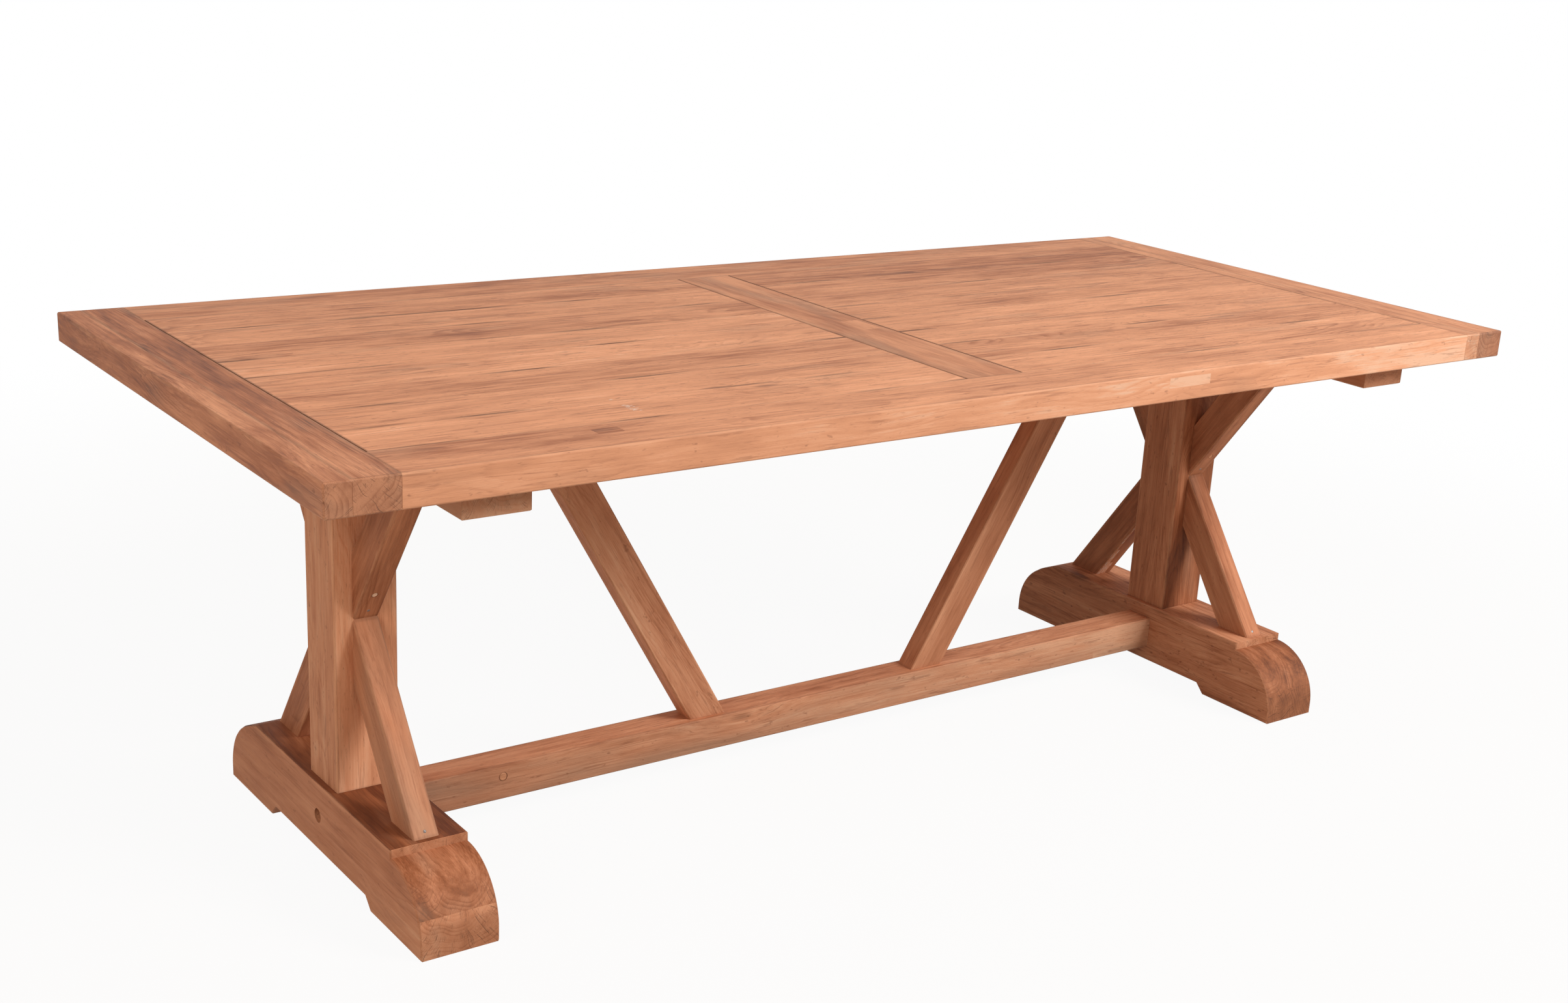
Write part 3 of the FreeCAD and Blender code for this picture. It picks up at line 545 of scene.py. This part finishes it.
def mark_grain(mesh, axes, limits, board, calmness, blocks, painted_light_fade=0.0):
    """Tell the teak where each point lies in its board, which board it is, what blocks are let into it or
    painted on it as shade and light, and its painted light fade.
    """
    low, high = limits
    count, faces = len(mesh.vertices), len(mesh.polygons)
    points = np.array([vert.co for vert in mesh.vertices])
    normals = np.array([face.normal for face in mesh.polygons])
    centres = np.array([face.center for face in mesh.polygons])
    boards = np.tile(board, (faces, 1))
    calm, painted, painted_light_fading = np.full(faces, calmness), np.zeros(faces), np.full(faces, painted_light_fade)
    for number, (low_corner, high_corner, look) in enumerate(blocks, 1):
        inside = np.all((centres > low_corner) & (centres < high_corner), axis=1)
        own_seed = BLOCK_SEED_STEP * number * look.get("own", 0.0)
        boards[inside] += (look.get("tone", 0.0), look.get("grey", 0.0), own_seed)
        calm[inside] = look.get("calm", calmness)
        painted[inside] = look.get("paint", 0.0)
        painted_light_fading[inside] *= look.get("painted_light_fade", 1.0)
    # Painted light: a change of tone that grows along the table
    painted_light_fades = [painted_light_fading[face.index] * points[point, 0] for face in mesh.polygons for point in face.vertices]
    facing = np.abs(normals @ axes[0])
    write_attribute(mesh, "grain", "FLOAT_VECTOR", "POINT", points @ axes.T - (low + high) / 2)
    write_attribute(mesh, "half_size", "FLOAT_VECTOR", "POINT", np.tile((high - low) / 2, (count, 1)))
    write_attribute(mesh, "board", "FLOAT_VECTOR", "FACE", boards)
    write_attribute(mesh, "calm", "FLOAT", "FACE", calm)
    write_attribute(mesh, "painted", "FLOAT", "FACE", painted)
    write_attribute(mesh, "end_grain", "FLOAT", "FACE", facing ** 2)
    write_attribute(mesh, "painted_light_fade", "FLOAT", "CORNER", painted_light_fades)


def show(piece, slot, *nodes):
    """Hand a finished piece to the frame in the place of its CAD nodes."""
    piece.data.materials.clear()
    piece.data.materials.append(finishes[slot])
    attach(piece, "root")
    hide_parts(*nodes)


def new_piece(name, mesh):
    """Object for a mesh whose place is in its points."""
    piece = bpy.data.objects.new(name, mesh)
    bpy.context.scene.collection.objects.link(piece)
    return piece


def round_arrises(shape):
    """Rub the sharp arrises of a timber round."""
    arrises = [
        edge for edge in shape.edges
        if len(edge.link_faces) == 2 and edge.calc_length() > ARRIS_LENGTH
        and ARRIS_ANGLES[0] < edge.calc_face_angle_signed() < ARRIS_ANGLES[1]
    ]
    bmesh.ops.bevel(shape, geom=arrises, offset=ARRIS_ROUND, offset_type="OFFSET", segments=ARRIS_STEPS,
                    profile=0.5, affect="EDGES", clamp_overlap=True)
    bmesh.ops.remove_doubles(shape, verts=shape.verts, dist=MERGE_GAP)
    bmesh.ops.dissolve_degenerate(shape, edges=shape.edges, dist=MERGE_GAP)


def slice_across(shape, axis, places):
    """Cut a shape's faces at places along one axis, so that each part can be moved or marked."""
    square = [0.0, 0.0, 0.0]
    square[axis] = 1.0
    for place in places:
        everything = shape.verts[:] + shape.edges[:] + shape.faces[:]
        bmesh.ops.bisect_plane(shape, geom=everything, dist=MERGE_GAP,
                               plane_co=[place * side for side in square], plane_no=square)


def slice_blocks(shape, blocks):
    """Cut a shape along the sides of its blocks, but not so near its own sides as to leave slivers."""
    corners = np.array([v.co for v in shape.verts])
    inner_low, inner_high = corners.min(0) + CUT_MARGIN, corners.max(0) - CUT_MARGIN
    for low, high, look in blocks:
        for axis in range(3):
            sides = [low[axis], high[axis]]
            slice_across(shape, axis, [side for side in sides if inner_low[axis] < side < inner_high[axis]])


def joint_opening(field, joint, x):
    """How far a joint between two planks has opened on each side, at a place along it."""
    luck = random.Random(JOINT_SEED_STEP * joint + len(field))
    long_start, short_start = luck.uniform(0.0, FULL_TURN), luck.uniform(0.0, FULL_TURN)
    long_swell = LONG_SWELL * math.sin(x / LONG_SWELL_LENGTH + long_start)
    short_swell = SHORT_SWELL * math.sin(x / SHORT_SWELL_LENGTH + short_start)
    opening = SWELL_WIDTH * (SWELL_MIDDLE + long_swell + short_swell - SWELL_START)
    for side, number, start, end, size in WIDE_JOINTS:
        if (side, number) == (field, joint) and start < x < end:
            opening = size
    return min(max(opening, JOINT_SHUT), JOINT_OPEN)


def open_joints(shape, node, low, high):
    """Pull a plank's long top edges back where its joints have opened."""
    field, row = node.split("_")[1:]
    slice_across(shape, 0, np.arange(low[0] + JOINT_STEP, high[0] - JOINT_STEP / 2, JOINT_STEP))
    lip = high[2] - LIP_SHARE * (high[2] - low[2])
    for vert in shape.verts:
        if vert.co.z > lip and abs(vert.co.y - high[1]) < MERGE_GAP:
            vert.co.y -= joint_opening(field, int(row) - 1, vert.co.x)
        elif vert.co.z > lip and abs(vert.co.y - low[1]) < MERGE_GAP:
            vert.co.y += joint_opening(field, int(row), vert.co.x)


def dirt_by_joints(mesh, node, low, high):
    """Dirt along a plank's nearer joint at each of its points, one where the joint is widest."""
    field, row = node.split("_")[1:]
    middle = (low[1] + high[1]) / 2
    return [joint_opening(field, int(row) - int(vert.co.y > middle), vert.co.x) / JOINT_OPEN
            for vert in mesh.vertices]


def ease_back_end(shape, low, high):
    """Take the step out of a foot's back end, where the photograph shows the top sloping to the round."""
    places, heights = np.array(BACK_SLOPE).T * MM
    slice_across(shape, 1, places[:1])
    for vert in shape.verts:
        if places[0] + MERGE_GAP < vert.co.y < places[-1] and vert.co.z > heights[-1] - SIDE_CHAMFER:
            on_side = min(vert.co.x - low[0], high[0] - vert.co.x) < MERGE_GAP
            vert.co.z = np.interp(vert.co.y, places, heights) - SIDE_CHAMFER * on_side
    bmesh.ops.remove_doubles(shape, verts=shape.verts, dist=MERGE_GAP)


def timber(node, slot):
    """Teak piece with the shape of a CAD node, its arrises rubbed round and its grain marked."""
    shape = bmesh.new()
    shape.from_mesh(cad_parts[node].data)
    bmesh.ops.remove_doubles(shape, verts=shape.verts, dist=MERGE_GAP)
    bmesh.ops.dissolve_limit(shape, angle_limit=FLAT_ANGLE, verts=shape.verts, edges=shape.edges)
    axes = grain_axes(longest_direction(shape))
    limits = body_limits(shape, axes)
    body = np.sort(np.array(limits) @ axes, axis=0)
    blocks = blocks_of(node)
    if slot == "teak_planks":
        open_joints(shape, node, *body)
    if node.startswith("foot_"):
        ease_back_end(shape, *body)
    slice_blocks(shape, blocks)
    round_arrises(shape)
    for face in shape.faces:
        face.smooth = True
    for edge in shape.edges:
        edge.smooth = len(edge.link_faces) == 2 and edge.calc_face_angle() < SHARP_ANGLE
    mesh = bpy.data.meshes.new(node + "_timber")
    shape.to_mesh(mesh)
    shape.free()
    tone, grey = BOARD_TONES.get(node, (DRAW.uniform(*TONE_DRAW), DRAW.uniform(*GREY_DRAW)))
    board = (tone, grey, DRAW.uniform(0.0, 1.0))
    mark_grain(mesh, axes, limits, board, CALMNESS[slot], blocks, PAINTED_LIGHT_FADES.get(node, 0.0))
    dirt = np.full(len(mesh.vertices), TIMBER_EDGE_DIRT)
    if slot == "teak_planks":
        dirt = dirt_by_joints(mesh, node, *body)
    write_attribute(mesh, "open_joint", "FLOAT", "POINT", dirt)
    piece = new_piece(node + "_timber", mesh)
    normals = piece.modifiers.new("flat_faces", "WEIGHTED_NORMAL")
    normals.keep_sharp = True
    show(piece, slot, node)


for node in sorted(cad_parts):
    if node.startswith("plank_"):
        timber(node, "teak_planks")
    elif node.startswith(("end_board_", "rail_", "centre_board")):
        timber(node, "teak_top_frame")
    elif node.startswith(("foot_", "post_", "bolster_", "brace_left", "brace_right", "diagonal_left",
                          "diagonal_right")) or node == "stretcher":
        timber(node, "teak_trestle")


# Screws, nails and plugs: one tree for each kind sets the same pin at every point, turned along its aim.

PIN_LENGTHS = ("Head Radius", "Head Height", "Shank Radius", "Length", "Thread Pitch", "Recess")
PIN_INPUTS = {"Sides": "NodeSocketInt", **dict.fromkeys(PIN_LENGTHS, "NodeSocketFloat"),
              "Finish": "NodeSocketMaterial"}

# Shares of the head's height and width, and of the shank's radius and length
HEAD_WALL, CROWN_WIDTH, RECESS_WIDTH, RECESS_TAPER = 0.6, 0.82, 0.42, 0.85
SHANK_SIDES, THREAD_CORE, TIP_LENGTH, TIP_WIDTH = 16, 0.72, 3.0, 0.12
THREAD_START, THREAD_RISE, RIDGE_SIZE = 0.36, 0.62, 0.28
TURN_STEPS, RIDGE_SIDES = 14, 4
PLUG_CROWN = (0.86, 0.85)


def new_tree(name):
    """Geometry tree with the named inputs of a pin, and these inputs."""
    tree = bpy.data.node_groups.new(name, "GeometryNodeTree")
    tree.interface.new_socket("Geometry", in_out="OUTPUT", socket_type="NodeSocketGeometry")
    tree.interface.new_socket("Geometry", in_out="INPUT", socket_type="NodeSocketGeometry")
    for label, kind in PIN_INPUTS.items():
        tree.interface.new_socket(label, in_out="INPUT", socket_type=kind)
    return tree, add(tree, "NodeGroupInput").outputs


def draw_in(tree, body, face, steps):
    """Carry a face of a body on in steps, each with its length, or none, and the share it is scaled by."""
    for length, share in steps:
        step = add(tree, "GeometryNodeExtrudeMesh", {"Individual": False, "Offset Scale": 0.0},
                   {"Mesh": body, "Selection": face, **({"Offset Scale": length} if length else {})})
        scaled = add(tree, "GeometryNodeScaleElements", {"domain": "FACE", "Scale": share},
                     {"Geometry": step.outputs["Mesh"], "Selection": step.outputs["Top"]})
        body, face = scaled.outputs[0], step.outputs["Top"]
    return body


def move_along(tree, body, height):
    """Body moved along the pin."""
    up = add(tree, COMBINE, links={"Z": height})
    return add(tree, "GeometryNodeTransform", links={"Geometry": body, "Translation": up})


def set_out(tree, pin, sizes):
    """End a tree: its pin at every point along the point's aim, as one mesh with its finish."""
    aim = add(tree, "GeometryNodeInputNamedAttribute", {"data_type": "FLOAT_VECTOR", "Name": "aim"})
    turn = add(tree, "FunctionNodeAlignRotationToVector", {"axis": "Z"}, {"Vector": aim})
    stand = add(tree, "GeometryNodeInstanceOnPoints",
                links={"Points": sizes["Geometry"], "Instance": pin, "Rotation": turn})
    real = add(tree, "GeometryNodeRealizeInstances", links={"Geometry": stand})
    dressed = add(tree, "GeometryNodeSetMaterial", links={"Geometry": real, "Material": sizes["Finish"]})
    add(tree, "NodeGroupOutput", links={"Geometry": dressed})


def pin_tree(name, threaded):
    """Tree that sets a screw or nail at every point: crowned head, shank with a tip and perhaps a thread."""
    tree, sizes = new_tree(name)

    # Head from the seat at zero down to its crown, with a recess for the driver
    wall = add(tree, MATH, {**TIMES, 1: HEAD_WALL}, {0: sizes["Head Height"]})
    crown = add(tree, MATH, {**TIMES, 1: 1 - HEAD_WALL}, {0: sizes["Head Height"]})
    drop = add(tree, MATH, {**TIMES, 1: -HEAD_WALL / 2}, {0: sizes["Head Height"]})
    drum = add(tree, "GeometryNodeMeshCylinder", {"fill_type": "NGON"},
               {"Vertices": sizes["Sides"], "Radius": sizes["Head Radius"], "Depth": wall})
    sunk = add(tree, MATH, {**TIMES, 1: -1.0}, {0: sizes["Recess"]})
    head = draw_in(tree, drum.outputs["Mesh"], drum.outputs["Bottom"],
                   ((crown, CROWN_WIDTH), (None, RECESS_WIDTH), (sunk, RECESS_TAPER)))
    parts = [move_along(tree, head, drop)]

    # Shank from the seat to a pointed tip
    core = add(tree, MATH, {**TIMES, 1: THREAD_CORE if threaded else 1.0},
               {0: sizes["Shank Radius"]})
    tip = add(tree, MATH, {**TIMES, 1: TIP_LENGTH}, {0: sizes["Shank Radius"]})
    straight = add(tree, MATH, MINUS, {0: sizes["Length"], 1: tip})
    middle = add(tree, MATH, {**TIMES, 1: 0.5}, {0: straight})
    stem = add(tree, "GeometryNodeMeshCylinder", {"fill_type": "NGON", "Vertices": SHANK_SIDES},
               {"Radius": core, "Depth": straight})
    sharp = draw_in(tree, stem.outputs["Mesh"], stem.outputs["Top"], ((tip, TIP_WIDTH),))
    parts.append(move_along(tree, sharp, middle))

    if threaded:
        rise = add(tree, MATH, {**TIMES, 1: THREAD_RISE}, {0: straight})
        start = add(tree, MATH, {**TIMES, 1: THREAD_START}, {0: straight})
        turns = add(tree, MATH, OVER, {0: rise, 1: sizes["Thread Pitch"]})
        ridge_size = add(tree, MATH, {**TIMES, 1: RIDGE_SIZE}, {0: sizes["Shank Radius"]})
        helix = add(tree, "GeometryNodeCurveSpiral", {"Resolution": TURN_STEPS},
                    {"Rotations": turns, "Start Radius": core, "End Radius": core, "Height": rise})
        ridge = add(tree, "GeometryNodeCurvePrimitiveCircle", {"Resolution": RIDGE_SIDES},
                    {"Radius": ridge_size})
        thread = add(tree, "GeometryNodeCurveToMesh", {"Fill Caps": True},
                     {"Curve": helix, "Profile Curve": ridge})
        parts.append(move_along(tree, thread, start))

    whole = add(tree, "GeometryNodeJoinGeometry")
    for part in reversed(parts):
        tree.links.new(part.outputs[0], whole.inputs[0])
    set_out(tree, whole, sizes)
    return tree


def plug_tree(name):
    """Tree that sets a wooden plug at every point, its shown face a little crowned."""
    tree, sizes = new_tree(name)
    wall = add(tree, MATH, MINUS, {0: sizes["Length"], 1: sizes["Recess"]})
    drum = add(tree, "GeometryNodeMeshCylinder", {"fill_type": "NGON"},
               {"Vertices": sizes["Sides"], "Radius": sizes["Head Radius"], "Depth": wall})
    rise = add(tree, MATH, {**TIMES, 1: 1 / len(PLUG_CROWN)}, {0: sizes["Recess"]})
    body = draw_in(tree, drum.outputs["Mesh"], drum.outputs["Bottom"],
                   [(rise, share) for share in PLUG_CROWN])
    lift = add(tree, MATH, {**TIMES_PLUS, 1: 0.5}, {0: wall, 2: sizes["Recess"]})
    set_out(tree, move_along(tree, body, lift), sizes)
    return tree


def islands(mesh):
    """Points of each separate solid in a CAD node's mesh."""
    shape = bmesh.new()
    shape.from_mesh(mesh)
    bmesh.ops.remove_doubles(shape, verts=shape.verts, dist=MERGE_GAP)
    left, found = set(shape.verts), []
    while left:
        stack, island = [left.pop()], []
        while stack:
            vert = stack.pop()
            island.append(vert.co.copy())
            near = {edge.other_vert(vert) for edge in vert.link_edges} & left
            left -= near
            stack.extend(near)
        found.append(np.array(island))
    shape.free()
    return sorted(found, key=lambda points: tuple(points.mean(0).round(4)))


def pin_places(node, toward=None):
    """Outer end, aim and length of each pin in a CAD node, aimed from its wider end or toward a direction."""
    places = []
    for points in islands(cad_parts[node].data):
        spread = points - points.mean(0)
        axis = np.linalg.svd(spread, full_matrices=False)[2][0]
        along = spread @ axis
        across = np.linalg.norm(spread - np.outer(along, axis), axis=1)
        if toward is not None:
            axis = axis if axis @ np.array(toward) > 0 else -axis
        elif across[along > along.max() - MM].max() > across[along < along.min() + MM].max():
            axis = -axis
        along = points @ axis
        side = points - np.outer(along, axis)
        centre = (side.max(0) + side.min(0)) / 2
        places.append((centre + axis * along.min(), axis, along.max() - along.min()))
    return places


def set_pins(node, tree, slot, sizes, places):
    """Piece with one pin at each place, made by a geometry tree."""
    points = bpy.data.meshes.new(node + "_points")
    points.from_pydata([list(spot) for spot, aim, length in places], [], [])
    write_attribute(points, "aim", "FLOAT_VECTOR", "POINT", [aim for spot, aim, length in places])
    row = new_piece(node + "_row", points)
    maker = row.modifiers.new("pins", "NODES")
    maker.node_group = tree
    keys = {item.name: item.identifier for item in tree.interface.items_tree if item.in_out == "INPUT"}
    for label, value in {**sizes, "Finish": finishes[slot]}.items():
        maker[keys[label]] = value
    mesh = bpy.data.meshes.new_from_object(row.evaluated_get(bpy.context.evaluated_depsgraph_get()))
    bpy.data.objects.remove(row)
    mesh.name = node + "_set"
    return new_piece(node + "_set", mesh)


# Glue line round a plug: where it begins, as a share of the radius, and how much darker it is
RIM_SHARE, RIM_TONE = 0.89, -2.4


def darken_rims(mesh, places, radius):
    """Dark glue line round each plug, on the faces that lie by its rim."""
    boards = mesh.attributes["board"].data
    for face, board in zip(mesh.polygons, boards):
        spot, aim, length = min(places, key=lambda place: (face.center - Vector(place[0])).length)
        offset = face.center - Vector(spot)
        if (offset - offset.dot(Vector(aim)) * Vector(aim)).length > RIM_SHARE * radius:
            board.vector = board.vector + Vector((RIM_TONE, 0.0, 0.0))


screw_tree = pin_tree("threaded_screws", True)
nail_tree = pin_tree("plain_nails", False)
wood_plug_tree = plug_tree("wooden_plugs")

SCREW = {"Sides": 24, "Head Radius": 4.5 * MM, "Head Height": 3 * MM, "Shank Radius": 2.5 * MM,
         "Thread Pitch": 2.6 * MM, "Recess": 1.6 * MM}
COACH = {"Sides": 6, "Head Radius": 9 * MM, "Head Height": 7 * MM, "Shank Radius": 5 * MM,
         "Thread Pitch": 4.5 * MM, "Recess": 0.2 * MM}
NAIL = {"Sides": 16, "Head Radius": 2.5 * MM, "Head Height": 1 * MM, "Shank Radius": 1.5 * MM,
        "Recess": 0.1 * MM}
PLUG = {"Sides": 32, "Recess": 0.5 * MM}
PLUG_GREY, PLUG_CALM = 0.2, 0.5

for node, tree, kind in (
    ("top_screws", screw_tree, SCREW), ("brace_screws", screw_tree, SCREW),
    ("diagonal_screws", screw_tree, SCREW), ("coach_screws", screw_tree, COACH),
    ("brace_nails", nail_tree, NAIL),
):
    seat = kind["Head Height"]
    at_seat = [(spot + aim * seat, aim, length - seat) for spot, aim, length in pin_places(node)]
    sizes = {**kind, "Length": at_seat[0][2]}
    show(set_pins(node, tree, "zinc_plated_steel", sizes, at_seat), "zinc_plated_steel", node)

# Plugs: node, radius, the way they go in and tone
for node, radius, toward, tone in (
    ("brace_plugs", 4.8 * MM, (0, 0, 1), 1.4), ("stretcher_plug", 7.1 * MM, (0, 1, 0), -0.6),
):
    places = pin_places(node, toward)
    sizes = {**PLUG, "Head Radius": radius, "Length": places[0][2]}
    piece = set_pins(node, wood_plug_tree, "teak_plugs", sizes, places)
    axes = grain_axes(Vector((1, 0, 0)))
    low, high = [np.array(corner) @ axes.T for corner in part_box(node)]
    limits = np.minimum(low, high), np.maximum(low, high)
    board = (tone, PLUG_GREY, DRAW.uniform(0.0, 1.0))
    mark_grain(piece.data, axes, limits, board, PLUG_CALM, blocks_of(node))
    dirt = np.full(len(piece.data.vertices), PLUG_EDGE_DIRT)
    write_attribute(piece.data, "open_joint", "FLOAT", "POINT", dirt)
    darken_rims(piece.data, places, radius)
    show(piece, "teak_plugs", node)

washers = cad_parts["coach_washers"].data
washers.materials.clear()
washers.materials.append(finishes["zinc_plated_steel"])


# Pale floor that goes over to white away from the table, and white beyond it.

FLOOR_HALF = 9.0
FLOOR_WHITE = {**EASED, 1: 1.5, 2: 3.4, 3: 0.94, 4: 1.0}
AMBIENT = 0.38


def seen_directly(tree):
    """One for what the camera sees, straight, in a gloss or through glass, and zero for light on its way."""
    rays = add(tree, "ShaderNodeLightPath").outputs
    seen = add(tree, MATH, PLUS, {0: rays["Is Camera Ray"], 1: rays["Is Glossy Ray"]})
    return add(tree, MATH, {**PLUS, "use_clamp": True}, {0: seen, 1: rays["Is Transmission Ray"]})


def make_floor():
    """Matt pale studio floor that keeps the table's shadow near it."""
    material, tree = new_material("pale_studio_floor")
    place = add(tree, "ShaderNodeTexCoord").outputs["Object"]
    far = add(tree, VECTOR, {"operation": "LENGTH"}, {0: place}).outputs["Value"]
    white = add(tree, RANGE, FLOOR_WHITE, {0: far})
    share = add(tree, MATH, TIMES, {0: white, 1: seen_directly(tree)})
    matt = add(tree, "ShaderNodeBsdfDiffuse", {"Color": linear("#cec5ba")})
    blank = add(tree, "ShaderNodeEmission", {"Color": linear("#ffffff"), "Strength": 1.0})
    surface = add(tree, "ShaderNodeMixShader", links={0: share, 1: matt, 2: blank})
    add(tree, "ShaderNodeOutputMaterial", links={"Surface": surface})
    mesh = bpy.data.meshes.new("studio_floor")
    corners = [(x * FLOOR_HALF, y * FLOOR_HALF, 0.0) for x, y in ((-1, -1), (1, -1), (1, 1), (-1, 1))]
    mesh.from_pydata(corners, [], [(0, 1, 2, 3)])
    mesh.materials.append(material)
    new_piece("studio_floor", mesh)


def make_world():
    """Even warm white room light, plain white where the camera sees it."""
    world = bpy.data.worlds.new("white_room")
    bpy.context.scene.world = world
    world.use_nodes = True
    tree = world.node_tree
    tree.nodes.clear()
    seen = seen_directly(tree)
    strength = add(tree, RANGE, {1: 0.0, 2: 1.0, 3: AMBIENT, 4: 1.0}, {0: seen})
    colour = add(tree, MIX, {**COLOUR_MIX, "A": linear("#ffeedf"), "B": linear("#ffffff")}, {"Factor": seen})
    light = add(tree, "ShaderNodeBackground", links={"Color": colour.outputs[2], "Strength": strength})
    add(tree, "ShaderNodeOutputWorld", links={"Surface": light})


def softbox(name, spot, aim, size, power, code):
    """Large soft lamp at a spot, turned to an aim."""
    lamp = bpy.data.lights.new(name, "AREA")
    lamp.shape = "RECTANGLE"
    lamp.size, lamp.size_y = size
    lamp.energy = power
    lamp.color = linear(code)[:3]
    holder = bpy.data.objects.new(name, lamp)
    holder.location = spot
    holder.rotation_euler = (Vector(aim) - Vector(spot)).to_track_quat("-Z", "Y").to_euler()
    bpy.context.scene.collection.objects.link(holder)


make_floor()
make_world()
softbox("front_softbox", spot=(2.9, -4.0, 3.5), aim=(0.0, 0.0, 0.5), size=(2.6, 1.8),
        power=310.0, code="#fffaf6")
softbox("left_softbox", spot=(-4.0, -1.2, 2.2), aim=(-0.6, 0.0, 0.4), size=(1.8, 1.8),
        power=55.0, code="#ffe6d2")

# Camera as it stood for the photograph: its place, heading, tilt and roll, and the photograph's framing
IMAGE = (2408, 1540)
FOCAL_PIXELS = 3099.2
CAMERA_SPOT = (-1.9752, -2.6023, 1.4315)
HEADING, TILT, ROLL = (math.radians(angle) for angle in (-37.4898, 18.6465, 3.4752))
AXIS_PIXEL = (1276.4, 867.6)
SENSOR = 36.0

back = Vector((math.sin(HEADING) * math.cos(TILT), -math.cos(HEADING) * math.cos(TILT), math.sin(TILT)))
level = Vector((math.cos(HEADING), math.sin(HEADING), 0.0))
upright = back.cross(level)
right = math.cos(ROLL) * level + math.sin(ROLL) * upright
up = math.cos(ROLL) * upright - math.sin(ROLL) * level
lens = bpy.data.cameras.new("photo_camera")
lens.sensor_fit = "HORIZONTAL"
lens.sensor_width = SENSOR
lens.lens = FOCAL_PIXELS * SENSOR / IMAGE[0]
lens.shift_x = (IMAGE[0] / 2 - AXIS_PIXEL[0]) / IMAGE[0]
lens.shift_y = (AXIS_PIXEL[1] - IMAGE[1] / 2) / IMAGE[0]
camera = bpy.data.objects.new("photo_camera", lens)
turn = Matrix((right, up, back)).transposed().to_4x4()
camera.matrix_world = Matrix.Translation(Vector(CAMERA_SPOT)) @ turn
bpy.context.scene.collection.objects.link(camera)
bpy.context.scene.camera = camera
bpy.context.scene.view_settings.view_transform = "Standard"
